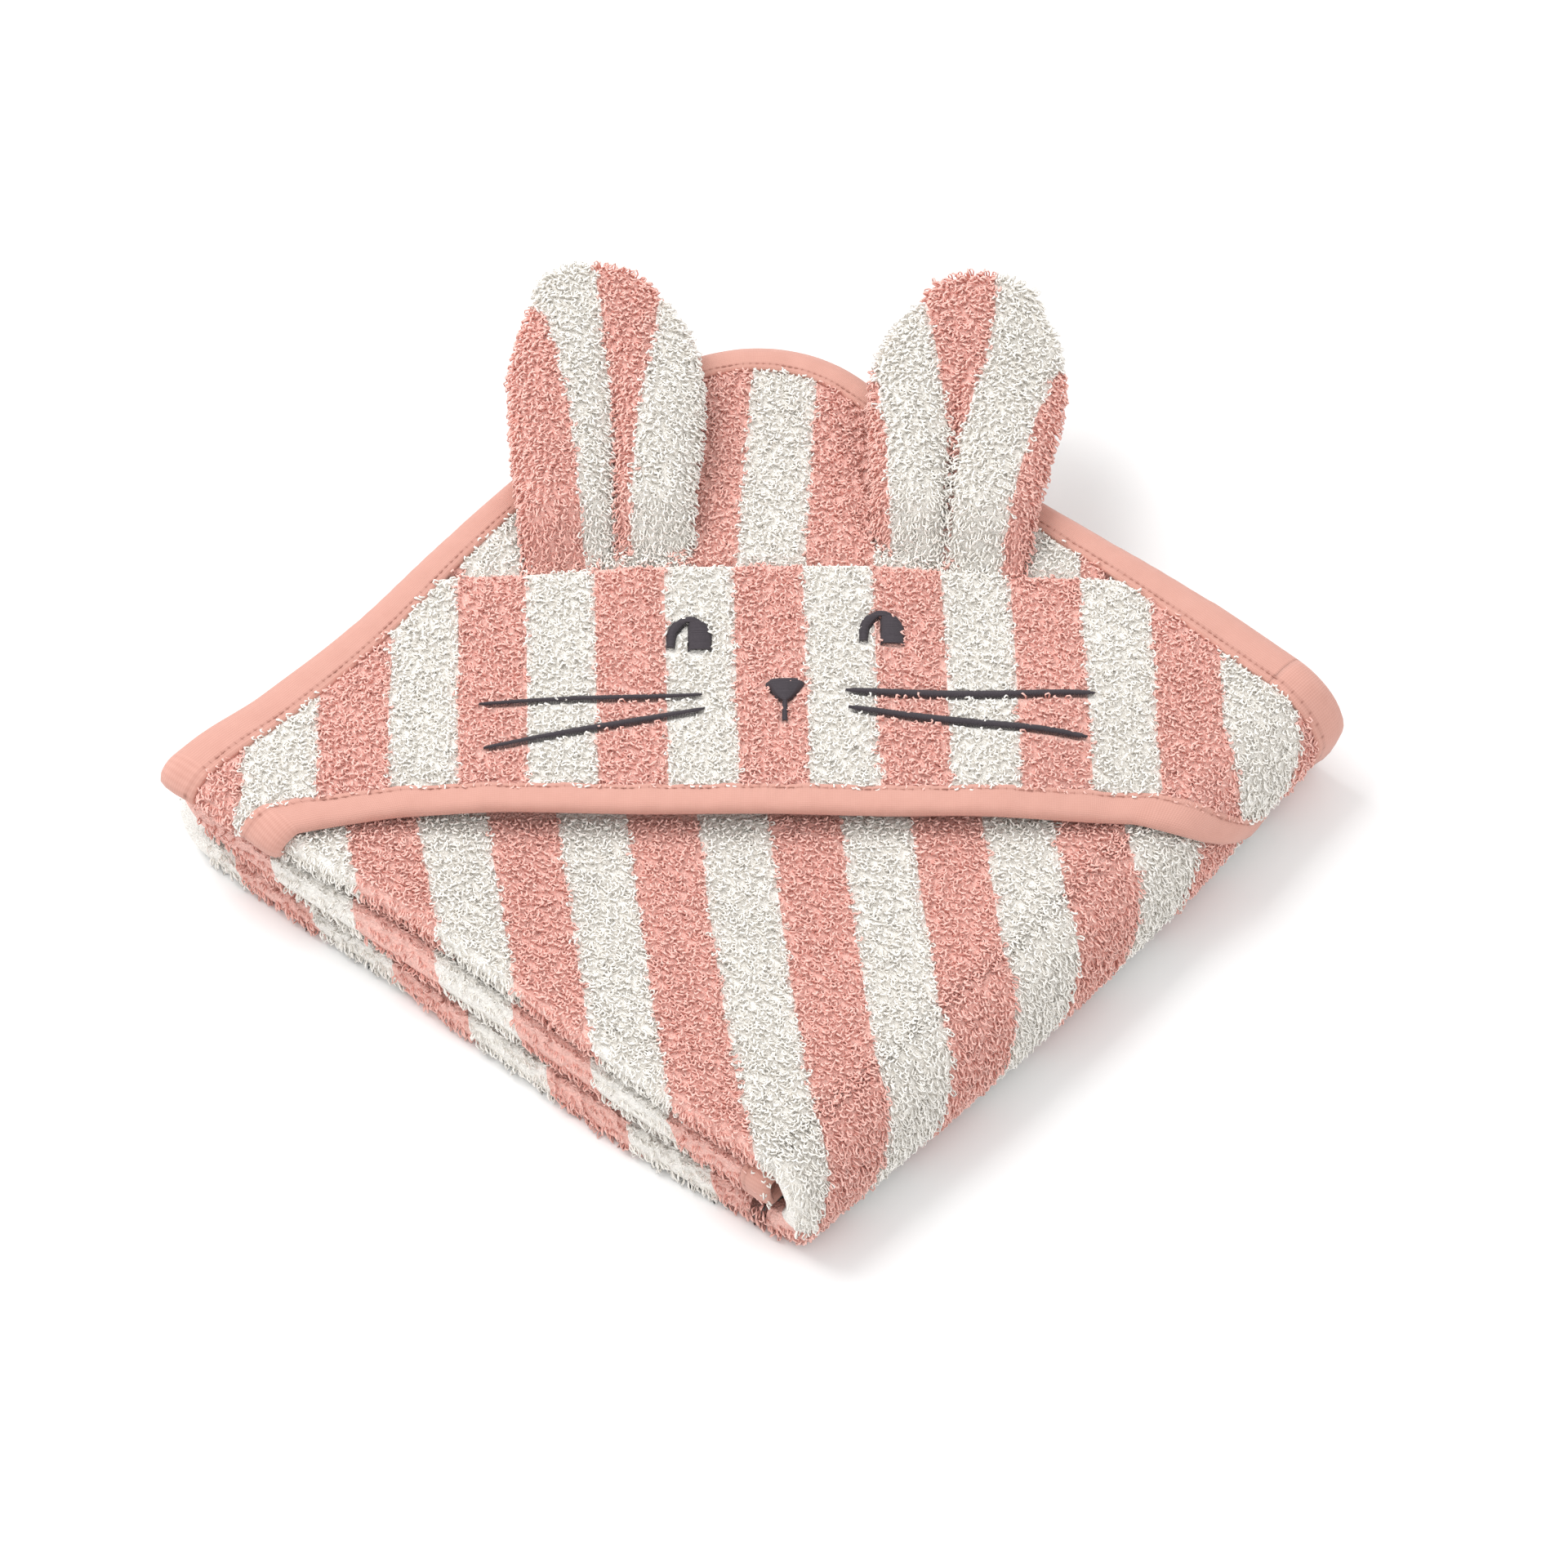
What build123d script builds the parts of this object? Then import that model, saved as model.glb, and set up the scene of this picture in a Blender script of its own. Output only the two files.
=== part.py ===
"""Hooded baby towel, folded in thirds both ways into a square packet.

The packet lies on its underside with the hood's point to the back.  Inside it the
towel is nine layers thick: a zigzag of three layers, itself folded in three.  The
front third carries the hood, opens like a book cover about the bend on the front
right side, and is bound all round with bias tape.
"""
import os

from build123d import *

# ---- Folded towel ----
packet_width = 242.0        # between the zigzag folds of the front left and back right sides
packet_length = 236.0       # from the back left side to the outer bend
length_shift = 4.0          # the packet's middle lies this far towards the outer bend
layer = 3.6                 # one layer of looped cloth
layer_gap = 0.4             # between neighbouring layers
apex_radius = 50.0          # rounded towel corner under the point of the hood
corner_radius = 9.0         # the packet's other three corners
bound_inset = 3.0           # how far the inner bound edges sit back from the folds

# ---- Bias binding ----
binding_width = 9.0
binding_wall = 0.7
stitch_width = 0.6
stitch_height = 0.3
stitch_inset = 1.2          # from the binding's inner edge to its line of stitches

# ---- Hood ----
hood_tilt = -3.5            # degrees the hood's seams are turned about the vertical
seam_y = 52.0               # seam between the crown and the face panel
base_y = -38.0              # lower edge of the binding at the hood's mouth
flap_half = round(0.432 * packet_length)
flap_lap = 6.0              # how far the fixed ends reach under it
pocket_height = 5.0         # clear height under the face panel
seam_front = 2.0            # seam allowance in front of the seam
seam_back = 4.0             # and behind it, where the ears are caught
left_wrap_width = 39.0      # of the hood's end where it turns down over the left fold
right_wrap_width = 46.0     # and over the outer bend
wrap_angle = 100.0          # degrees that they turn

# ---- Ears ----
ear_length = 106.0
ear_width = 55.0
ear_root_width = 47.0
ear_half = 5.0              # thickness of each of its two sides
ear_rise = 8.0              # degrees above the crown
ear_clearance = 1.5         # between the root and the hood's seam
ears = {"left_ear": (-39.0, 0.0), "right_ear": (60.0, 15.0)}   # root place, sideways lean of the tip

# ---- Embroidered face ----
thread_height = 0.8
eye_size = 13.0
eye_band = 2.6
eyes = {"left_eye": (-18.3, 25.0), "right_eye": (37.2, 26.0)}
nose_width = 11.5
nose_rounding = 1.5
nose_place = (8.8, 11.5)
stem_length = 15.3
stem_thickness = 1.6
whisker_width = 2.2
whiskers = {
    "left_upper_whisker": ((-78.5, 9.2), (-15.0, 8.9)),
    "left_lower_whisker": ((-78.0, -8.2), (-14.4, 3.1)),
    "right_upper_whisker": ((96.7, 1.2), (26.3, 7.3)),
    "right_lower_whisker": ((93.1, -14.5), (26.8, 0.9)),
}

# ---- Worked out ----
pitch = layer + layer_gap
half_width = packet_width / 2
back_v = length_shift - packet_length / 2
front_v = length_shift + packet_length / 2
fold_radius = layer + layer_gap / 2
fold_u = half_width - fold_radius
inner_radius = 3 * layer + 2.5 * layer_gap
outer_radius = 4.5 * layer + 4 * layer_gap
turn_v = back_v + inner_radius
bend_v = front_v - outer_radius
packet_height = 9 * layer + 8 * layer_gap
hood_bottom = packet_height + layer_gap
hood_top = hood_bottom + layer
flap_bottom = packet_height + pocket_height + layer_gap
flap_top = flap_bottom + layer
far = 2 * (packet_width + packet_length)

# Packet frame: u to the front left side, v to the outer bend on the front right side.
packet = Plane(origin=(0, 0, 0), x_dir=(-1, -1, 0), z_dir=(0, 0, 1)).location
hood = Rot(0, 0, hood_tilt)


def save(name, shape):
    """Write one piece, which may be several separate solids, as a STEP file."""
    solids = shape.solids()
    result = solids[0] if len(solids) == 1 else Compound(children=list(solids))
    export_step(result, f"parts/{name}.step")


def slab(x0, x1, y0, y1, z0, z1):
    """A box between two corners."""
    size = (x1 - x0, y1 - y0, z1 - z0)
    return Pos(x0, y0, z0) * Box(*size, align=(Align.MIN, Align.MIN, Align.MIN))


def apex_block(inset, z0, z1, reach_u=far, reach_v=far):
    """The packet's plan from its rounded apex corner, set in from the two back sides."""
    u0 = -half_width + inset
    v0 = back_v + inset
    plan = Pos(u0, v0) * Rectangle(reach_u - u0, reach_v - v0, align=(Align.MIN, Align.MIN))
    apex = plan.vertices().sort_by(Axis.X)[:2].sort_by(Axis.Y)[0]
    plan = fillet(apex, apex_radius - inset)
    return Pos(0, 0, z0) * extrude(plan, z1 - z0)


def packet_block():
    """The whole packet's plan, with all four corners rounded."""
    plan = Pos(0, length_shift) * Rectangle(packet_width, packet_length)
    near = plan.vertices().sort_by(Axis.X)
    apex = near[:2].sort_by(Axis.Y)[0]
    others = [corner for corner in near if corner != apex]
    plan = fillet(others, corner_radius)
    block = extrude(plan, far)
    return block & apex_block(0, 0, far)


def nested_rings(centre_v, centre_z, radii, side):
    """Half rings about an axis along u, on the +v or -v side of it."""
    section = Sketch()
    for radius in radii:
        section += Circle(radius + layer) - Circle(radius)
    section &= Pos(side * far / 2, 0) * Rectangle(far, far)
    plane = Plane(origin=(-half_width, centre_v, centre_z), x_dir=(0, 1, 0), z_dir=(1, 0, 0))
    return extrude(plane * section, half_width + fold_u)


def zigzag(lowest, upper_side, v0, v1, top_inset=bound_inset):
    """Three layers joined by a fold on upper_side (+1 or -1) above one on the other side."""
    section = Sketch()
    ends = (
        (-fold_u, half_width - bound_inset),
        (-fold_u, fold_u),
        (-(half_width - top_inset), fold_u),
    )
    for step, (inner, outer) in enumerate(ends):
        strip = Rectangle(outer - inner, layer, align=(Align.MIN, Align.MIN))
        section += Pos(inner, (lowest + step) * pitch) * strip
    half_ring = Circle(fold_radius) - Circle(layer_gap / 2)
    half_ring &= Pos(far / 2, 0) * Rectangle(far, far)
    upper = Pos(fold_u, (lowest + 1) * pitch + fold_radius) * half_ring
    lower = Pos(-fold_u, lowest * pitch + fold_radius) * Rot(0, 0, 180) * half_ring
    section += upper
    section += lower
    if upper_side < 0:
        section = mirror(section, Plane.YZ)
    plane = Plane(origin=(0, v1, 0), x_dir=(1, 0, 0), z_dir=(0, -1, 0))
    return extrude(plane * section, v1 - v0)


def channel(length, height=layer):
    """Folded binding along X: its closed edge on the X axis, its mouth towards +Y."""
    body = slab(-length / 2, length / 2, 0, binding_width, 0, height)
    inside = slab(-length, length, binding_wall, far, binding_wall, height - binding_wall)
    return body - inside


def side_channel(u, index, v0, v1):
    """Binding on a bound edge that runs along v at the given u, facing the packet's middle."""
    turn = -90 if u < 0 else 90
    return Pos(u, (v0 + v1) / 2, index * pitch) * Rot(0, 0, turn) * channel(v1 - v0)


def end_channels(v, indices, u0, u1, turn):
    """Binding on bound edges that run along u at the given v, one for each layer."""
    strip = Rot(0, 0, turn) * channel(u1 - u0)
    return Part() + [Pos((u0 + u1) / 2, v, index * pitch) * strip for index in indices]


def clear_of(cloth, bindings):
    """Cloth with its bound edges pressed thin between the two sides of the binding."""
    return cloth - list(bindings.values())


def turned_edge(radius):
    """Section of one layer that turns down round an edge, from the top through wrap_angle."""
    section = Circle(radius + layer) - Circle(radius)
    section &= Pos(far / 2, 0) * Rectangle(far, far)
    section &= Rot(0, 0, 90 - wrap_angle) * Pos(0, far / 2) * Rectangle(far, far)
    return section


os.makedirs("parts", exist_ok=True)
rounded = packet_block()
straight_v = back_v + apex_radius

# ---- Base third: three layers on the table, and the middle third folded back onto it ----
bound_u = half_width - bound_inset
base_cloth = zigzag(0, -1, turn_v, bend_v) & rounded
middle_v = bend_v - layer_gap
middle_cloth = zigzag(3, 1, turn_v, middle_v) & rounded
inner_radii = [layer_gap / 2 + step * pitch for step in range(3)]
inner_cloth = nested_rings(turn_v, 3 * pitch - layer_gap / 2, inner_radii, -1) & rounded

base_bindings = {
    "base_back_right_binding": side_channel(-bound_u, 0, straight_v, bend_v),
    "base_front_left_binding": side_channel(bound_u, 2, turn_v, bend_v),
    "middle_back_right_binding": side_channel(-bound_u, 5, straight_v, middle_v - binding_width),
    "middle_front_left_binding": side_channel(bound_u, 3, turn_v, middle_v - binding_width),
    "middle_end_binding": end_channels(middle_v, (3, 4, 5), -fold_u, fold_u, 180),
}
save("base_third", packet * clear_of(base_cloth, base_bindings))
save("middle_third", packet * clear_of(middle_cloth, base_bindings))
save("inner_bend", packet * inner_cloth)
for name, binding in base_bindings.items():
    save(name, packet * binding)

# ---- Front third: three layers on top, bound along the back left side ----
upper_band = apex_block(0, 8 * pitch, hood_top, fold_u, bend_v)
upper_band -= apex_block(binding_width, 0, far)
upper_slot = apex_block(binding_wall, 8 * pitch + binding_wall, hood_top - binding_wall)
front_bindings = {
    "hood_side_binding": upper_band - upper_slot,
    "front_lower_binding": end_channels(back_v, (6, 7), -half_width + apex_radius, fold_u, 0),
    "front_left_binding": side_channel(bound_u, 6, back_v + binding_width, bend_v),
}
front_cloth = zigzag(6, 1, back_v, bend_v, top_inset=0) & rounded
save("front_third", packet * clear_of(front_cloth, front_bindings))
for name, binding in front_bindings.items():
    save(name, packet * binding)

stitch_in = binding_width - stitch_inset
stitch_row = apex_block(stitch_in - stitch_width, hood_top, hood_top + stitch_height, fold_u, bend_v)
stitch_row -= apex_block(stitch_in, 0, far)
save("hood_side_stitching", packet * stitch_row)

# ---- Outer bend: the three layers that wrap the front right side ----
outer_z = outer_radius
outer_radii = [outer_radius - layer - step * pitch for step in range(3)]
bend_cloth = nested_rings(bend_v, outer_z, outer_radii, 1) & rounded
bend_band = nested_rings(bend_v, outer_z, outer_radii[:1], 1)
bend_band &= slab(-half_width, -half_width + binding_width, bend_v, far, 0, far)
wall = binding_wall
bend_slot = Pos(0, bend_v, outer_z) * Rot(0, 90, 0) * (
    Cylinder(outer_radius - wall, far) - Cylinder(outer_radii[0] + wall, far)
)
bend_slot &= slab(-half_width + wall, far, bend_v, far, 0, far)
bend_binding = (bend_band - bend_slot) & rounded
save("outer_bend", packet * (bend_cloth - bend_binding))
save("outer_bend_binding", packet * bend_binding)

# ---- Hood: crown and face panel, seamed together across the ears ----
side_binding = packet * front_bindings["hood_side_binding"]
plan = packet * apex_block(0, hood_bottom, hood_top, fold_u, bend_v)
raised = Pos(0, 0, flap_bottom - hood_bottom) * plan
inside = packet * apex_block(binding_width, 0, far, fold_u, bend_v)
mouth_y = base_y + binding_width
seam_start = seam_y - seam_front
crown = plan & hood * slab(-far, far, seam_y + seam_back, far, 0, far)
save("crown_panel", crown - side_binding)
ridge = hood * slab(-far, far, seam_start, seam_y + seam_back, hood_bottom, flap_top) & inside
save("hood_seam", ridge)

flap_back = seam_start - ear_clearance
flap_cut = hood * slab(-flap_half, flap_half, base_y, flap_back, 0, far)
edge_binding = hood * Pos(0, base_y, flap_bottom) * channel(2 * flap_half)
edge_binding &= raised
face_panel = (raised & flap_cut) - edge_binding
save("face_panel", face_panel)
save("hood_edge_binding", edge_binding)
row_y = mouth_y - stitch_inset
row = slab(-flap_half, flap_half, row_y - stitch_width, row_y, flap_top, flap_top + stitch_height)
save("hood_edge_stitching", hood * row)

# ---- Hood ends: the sewn-down corners of the face panel and their turns over the sides ----
for side, name in ((-1, "left"), (1, "right")):
    x0, x1 = sorted((side * (flap_half - flap_lap), side * far))
    end_block = hood * slab(x0, x1, base_y, seam_start, 0, far)
    end_edge = hood * Pos((x0 + x1) / 2, base_y, hood_bottom) * channel(x1 - x0)
    end_edge = end_edge & plan & inside
    save(f"hood_{name}_end", (plan & end_block) - side_binding - end_edge)
    save(f"hood_{name}_edge_binding", end_edge)

fold_z = 7 * pitch + fold_radius
left_turn = Plane(origin=(fold_u, back_v, fold_z), x_dir=(1, 0, 0), z_dir=(0, -1, 0))
left_wrap = extrude(left_turn * turned_edge(hood_bottom - fold_z), -left_wrap_width)
right_turn = Plane(origin=(-half_width, bend_v, outer_z), x_dir=(0, 1, 0), z_dir=(1, 0, 0))
right_wrap = extrude(right_turn * turned_edge(hood_bottom - outer_z), right_wrap_width)
save("hood_left_wrap", packet * left_wrap)
save("hood_right_wrap", packet * right_wrap)

# ---- Ears: two-sided pouches caught in the hood's seam ----
ear_y = seam_y + seam_back + ear_clearance + ear_half
ear_z = hood_top + layer_gap + ear_half
for name, (ear_x, lean) in ears.items():
    tip_radius = ear_width / 2
    tip = Pos(lean, ear_length - tip_radius) * Circle(tip_radius)
    root = Rectangle(ear_root_width, 1, align=(Align.CENTER, Align.MIN))
    outline = make_hull(tip.edges() + root.edges())
    ear = extrude(outline, ear_half, both=True)
    ear += Rot(0, 90, 0) * Cylinder(ear_half, ear_root_width)
    ear -= slab(-far, -ear_root_width / 2, -far, 0, -far, far)
    ear -= slab(ear_root_width / 2, far, -far, 0, -far, far)
    place = hood * Pos(ear_x, ear_y, ear_z) * Rot(ear_rise, 0, 0)
    save(f"{name}_front", place * (ear & slab(-far, far, -far, far, 0, far)))
    save(f"{name}_back", place * (ear & slab(-far, far, -far, far, -far, 0)))

# ---- Embroidered face on the face panel ----
eye_radius = eye_size / 2
arch = Circle(eye_radius) + Pos(0, -eye_radius / 2) * Rectangle(eye_size, eye_radius)
opening_radius = (eye_size - 2 * eye_band) / 3
opening = Circle(opening_radius) + Pos(0, -eye_radius) * Rectangle(2 * opening_radius, eye_size)
eye = arch - Pos(eye_band + opening_radius - eye_radius, eye_radius / 6) * opening
for name, (x, y) in eyes.items():
    save(name, Pos(x, y + eye_radius, flap_top) * extrude(eye, thread_height))

nose = Triangle(a=nose_width, b=nose_width, c=nose_width, rotation=180)
nose_top = nose.bounding_box().max.Y
stem = Pos(0, nose_top - stem_length / 2) * Rectangle(stem_thickness, stem_length)
nose = fillet(nose.vertices(), nose_rounding) + stem
save("nose", Pos(nose_place[0], nose_place[1] - nose_top, flap_top) * extrude(nose, thread_height))

for name, (outer, inner) in whiskers.items():
    line = Vector(*inner) - Vector(*outer)
    across = line.normalized().rotate(Axis.Z, 90) * (whisker_width / 2)
    corners = [Vector(*outer) + across / 2, Vector(*outer) - across / 2]
    corners += [Vector(*inner) - across, Vector(*inner) + across]
    whisker = make_face(Polyline(*corners, close=True))
    save(name, Pos(0, 0, flap_top) * extrude(whisker, thread_height))
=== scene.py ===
"""A hooded baby towel, folded flat, with its bunny-eared hood on top."""
import math

import bpy
import numpy as np
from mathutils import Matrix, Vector


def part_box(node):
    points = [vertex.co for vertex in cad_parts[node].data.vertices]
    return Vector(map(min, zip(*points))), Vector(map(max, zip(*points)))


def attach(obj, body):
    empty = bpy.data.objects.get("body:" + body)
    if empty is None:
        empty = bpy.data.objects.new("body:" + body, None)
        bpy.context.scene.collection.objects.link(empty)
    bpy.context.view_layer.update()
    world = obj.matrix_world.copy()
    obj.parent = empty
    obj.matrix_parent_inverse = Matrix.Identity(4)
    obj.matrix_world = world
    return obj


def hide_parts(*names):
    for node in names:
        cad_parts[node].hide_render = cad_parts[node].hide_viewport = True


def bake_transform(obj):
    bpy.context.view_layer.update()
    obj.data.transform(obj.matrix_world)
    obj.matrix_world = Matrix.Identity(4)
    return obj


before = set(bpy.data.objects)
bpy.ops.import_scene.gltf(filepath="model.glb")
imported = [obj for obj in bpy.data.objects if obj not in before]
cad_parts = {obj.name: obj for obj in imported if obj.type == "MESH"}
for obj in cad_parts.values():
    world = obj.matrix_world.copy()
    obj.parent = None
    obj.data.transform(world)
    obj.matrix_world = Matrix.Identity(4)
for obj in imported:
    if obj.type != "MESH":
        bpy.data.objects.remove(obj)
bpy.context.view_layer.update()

# ============================================================================
# The towel: one sheet of cotton terry, 700 mm square, woven in pink and cream
# stripes with uncut loops on both faces.  It is folded in thirds like a zigzag,
# and the strip is rolled in thirds, so nine layers lie on each other.
# ============================================================================
root_half = math.sqrt(0.5)
packet_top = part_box("front_third")[1][2]
pitch = 0.004                                   # from one layer of cloth to the next
cloth = packet_top - 8 * pitch                  # thickness of a layer with its loops
half_width = 0.121                              # across the zigzag
back_v, front_v = -0.114, 0.122                 # along the roll
fold_r = pitch / 2
side_room = 0.0002                              # between a fold and the packet's side
fold_u = half_width - cloth - side_room
wrap_r = packet_top / 2 - cloth / 2 - pitch     # middle layer round the outer bend
turn_r = 0.006                                  # and round the inner one
wrap_z = packet_top / 2
bend_v = front_v - wrap_z
turn_v = back_v + turn_r + pitch + cloth / 2
apex_r = 0.050                                  # rounded corner under the hood's point
short_by = 0.011                                # the inner panel stops before the fold
past_by = 0.0020                                # and the roll's end passes its outer bend
ground_thickness = 0.0012
ground_step = 0.006                             # between the points of a flat stretch

panel_ends = np.cumsum([fold_u + half_width, math.pi * fold_r, 2 * fold_u, math.pi * fold_r,
                        fold_u + half_width - short_by])
roll_ends = np.cumsum([bend_v - back_v, math.pi * wrap_r, bend_v - turn_v, math.pi * turn_r,
                       bend_v - turn_v + past_by])
fold_low, fold_high, back_low, back_high, p_last = panel_ends
bend_low, bend_high, turn_low, turn_high, q_last = roll_ends
flat_width = 0.70


def half_turn(s, start, stop):
    """Angle reached at a length s of a half circle that runs between two lengths."""
    return np.clip((s - start) / (stop - start), 0, 1) * math.pi


def zigzag(p):
    """A point p along the width, folded: straight, half circle, back, half circle, straight.
    Gives u, the height over the middle layer, and the outward normal's parts along both."""
    a, b, c, d, _ = panel_ends
    first, second = half_turn(p, a, b), half_turn(p, c, d)
    u = np.select([p < a, p < b, p < c, p < d],
                  [p - half_width, fold_u + fold_r * np.sin(first), fold_u - (p - b),
                   -fold_u - fold_r * np.sin(second)], -fold_u + (p - d))
    height = fold_r * (1 + np.cos(first)) - fold_r * (1 - np.cos(second))
    return u, height, np.sin(first) + np.sin(second), np.cos(first) + 1 - np.cos(second)


def roll(q):
    """A point q along the length of the folded strip, rolled clockwise: straight on top, the
    outer bend, back along the table, the inner bend, and inside.  Gives v, z and the normal."""
    a, b, c, d, _ = roll_ends
    first, second = half_turn(q, a, b), half_turn(q, c, d)
    v = np.select([q < a, q < b, q < c, q < d],
                  [back_v + q, bend_v + wrap_r * np.sin(first), bend_v - (q - b),
                   turn_v - turn_r * np.sin(second)], turn_v + (q - d))
    z = wrap_z + wrap_r * np.cos(first) + turn_r * (1 - np.cos(second))
    turned = first + second
    return v, z, np.sin(turned), np.cos(turned)


def smooth(x):
    """0 to 1 with level ends."""
    x = np.clip(x, 0, 1)
    return x * x * (3 - 2 * x)


def hill(x, width):
    """1 at zero, falling off like a bell to either side."""
    return np.exp(-(x / width) ** 2)


def soften(u, v, z):
    """Small unevenness of a hand-folded pile of cloth.  Each side is moved in or out by
    smooth steps and bells along its length, and waves by a few sines."""
    up = np.clip(z / packet_top, 0, 1.2)
    to_fold = np.clip(u / half_width, -1, 1) ** 3
    to_bend = np.clip(v / front_v, -1, 1) ** 3
    # The front right side is drawn in towards the right corner.
    bend_in = 0.0048 * smooth((-u - 0.045) / 0.070)
    # The back left side is a little hollow, but not at the left corner.
    back_in = 0.0040 * smooth((-u - 0.03) / 0.06) + 0.0024 * hill(u - 0.050, 0.030)
    back_in = back_in - 0.0030 * smooth((u - 0.085) / 0.025)
    # The front left side spreads at the left corner, and its top third lies a little back.
    fold_in = 0.0045 * smooth((v - 0.05) / 0.07) + 0.0034 * smooth((v + 0.085) / 0.06) - 0.0004
    fold_in = fold_in + 0.0022 * smooth((up - 0.7) / 0.15) * np.cos(9 * (v - 0.03))
    # The back right side is pressed in at its middle.
    right_in = 0.0028 * hill(v, 0.045)
    v, u = (v - np.clip(to_bend, 0, 1) * bend_in + np.clip(-to_bend, 0, 1) * back_in,
            u - np.clip(to_fold, 0, 1) * fold_in + np.clip(-to_fold, 0, 1) * right_in)
    u = u + 0.0010 * to_fold * np.sin(31 * v + 5 * up + 0.6)
    v = v + 0.0014 * to_bend * np.sin(27 * u + 1.1)
    v = v + 0.0022 * np.clip(-to_bend, 0, 1) * np.sin(26 * u + 0.4)
    wave = np.sin(23 * u + 4 * v + 1.0) * np.sin(19 * v - 6 * u) + 0.5 * np.sin(47 * (u + v))
    return u, v, z + 0.0007 * up * wave


def round_corner(u, v):
    """The square back corner of the packet pressed round: the square beside the corner is
    mapped to a quarter disc by x sqrt(1 - y^2 / 2) and y sqrt(1 - x^2 / 2)."""
    x = np.clip((apex_r - u - half_width) / apex_r, 0, 1.2)
    y = np.clip((apex_r - v + back_v) / apex_r, 0, 1.2)
    near = (x > 0) & (y > 0)
    round_u = apex_r * (1 - x * np.sqrt(1 - np.clip(y, 0, 1) ** 2 / 2)) - half_width
    round_v = apex_r * (1 - y * np.sqrt(1 - np.clip(x, 0, 1) ** 2 / 2)) + back_v
    return np.where(near, round_u, u), np.where(near, round_v, v)


def to_frame(u, v, z):
    """Packet axes to the shared frame: u runs to -X -Y and v to +X -Y."""
    return np.stack([(v - u) * root_half, -(u + v) * root_half, z], axis=-1)


def puff(p, q, u):
    """How far the fold on the front left opens like a drop: its lower side sags into the room
    that the short third layer leaves, and that of the inner third also swells upwards."""
    under = 0.5 - 0.5 * np.cos(half_turn(p, fold_low, fold_high))
    near = smooth((u - fold_u + 0.014) / 0.014) * (p < back_low)
    sag = 0.0008 + 0.0026 * smooth((q - bend_low) / (bend_high - bend_low))
    sag = sag + 0.0024 * hill(q - 0.5 * (bend_low + bend_high), 0.012)
    swell = 0.0024 * smooth((q - turn_low) / (turn_high - turn_low))
    return near * (swell * (1 - under) - sag * under)


def on_towel(p, q, lift=0.0, press_corner=True):
    """The point of the towel at p across and q along its flat cloth, lifted off its outer
    face, and the direction of that face."""
    u, height, nu, nh = zigzag(p)
    height = height + puff(p, q, u)
    v, z, nv, nz = roll(q)
    off = height + lift * nh
    u = u + lift * nu
    v = v + nv * off
    z = z + nz * off
    if press_corner:
        u, v = round_corner(u, v)
    point = to_frame(*soften(u, v, z))
    return point, to_frame(nu, nv * nh, nz * nh)


def to_flat(x, y):
    """The flat cloth's p and q under a place in plan, carried on past the folds."""
    return half_width - (x + y) * root_half, (x - y) * root_half - back_v


def plan_of(p, q):
    """The place in plan of a point of the flat cloth, before its folds."""
    return (q + back_v - p + half_width) * root_half, -(p - half_width + q + back_v) * root_half


def unit(vectors):
    """Vectors made one long."""
    return vectors / (np.linalg.norm(vectors, axis=-1, keepdims=True) + 1e-12)


def stripes(x, y):
    """How far across the towel's stripes a place in plan lies: they run a little to one side."""
    return x + 0.038 * y - 0.0004


def new_mesh(name, points, faces, values, material, maps=None):
    """A mesh from whole arrays of points and faces, with its values at the points."""
    mesh = bpy.data.meshes.new(name)
    mesh.materials.append(material)
    sizes = np.array([len(group[0]) for group in faces for _ in range(len(group))], dtype=np.int32)
    corners = np.concatenate([np.asarray(group).ravel() for group in faces]).astype(np.int32)
    mesh.vertices.add(len(points))
    mesh.vertices.foreach_set("co", np.asarray(points, dtype=np.float32).ravel())
    mesh.loops.add(len(corners))
    mesh.loops.foreach_set("vertex_index", corners)
    mesh.polygons.add(len(sizes))
    mesh.polygons.foreach_set("loop_start", (np.cumsum(sizes) - sizes).astype(np.int32))
    mesh.polygons.foreach_set("use_smooth", np.ones(len(sizes), dtype=bool))
    for key, value in values.items():
        layer = mesh.attributes.new(key, "FLOAT", "POINT")
        layer.data.foreach_set("value", np.asarray(value, dtype=np.float32).ravel())
    if maps is not None:
        layer = mesh.uv_layers.new(name="OFBake")
        layer.data.foreach_set("uv", np.asarray(maps, dtype=np.float32).ravel())
    mesh.update(calc_edges=True)
    mesh.validate()
    piece = bpy.data.objects.new(name, mesh)
    bpy.context.scene.collection.objects.link(piece)
    return piece


def grid_quads(index):
    """The four-sided faces between the points of a grid, towards its rows x columns."""
    quads = np.stack([index[:-1, :-1], index[1:, :-1], index[1:, 1:], index[:-1, 1:]], axis=-1)
    return quads.reshape(-1, 4)


def grid_piece(name, points, values, material):
    """A surface through a grid of points."""
    shape = points.shape[:2]
    quads = grid_quads(np.arange(shape[0] * shape[1]).reshape(shape))
    values = {key: np.broadcast_to(value, shape) for key, value in values.items()}
    return new_mesh(name, points.reshape(-1, 3), [quads], values, material)


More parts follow.
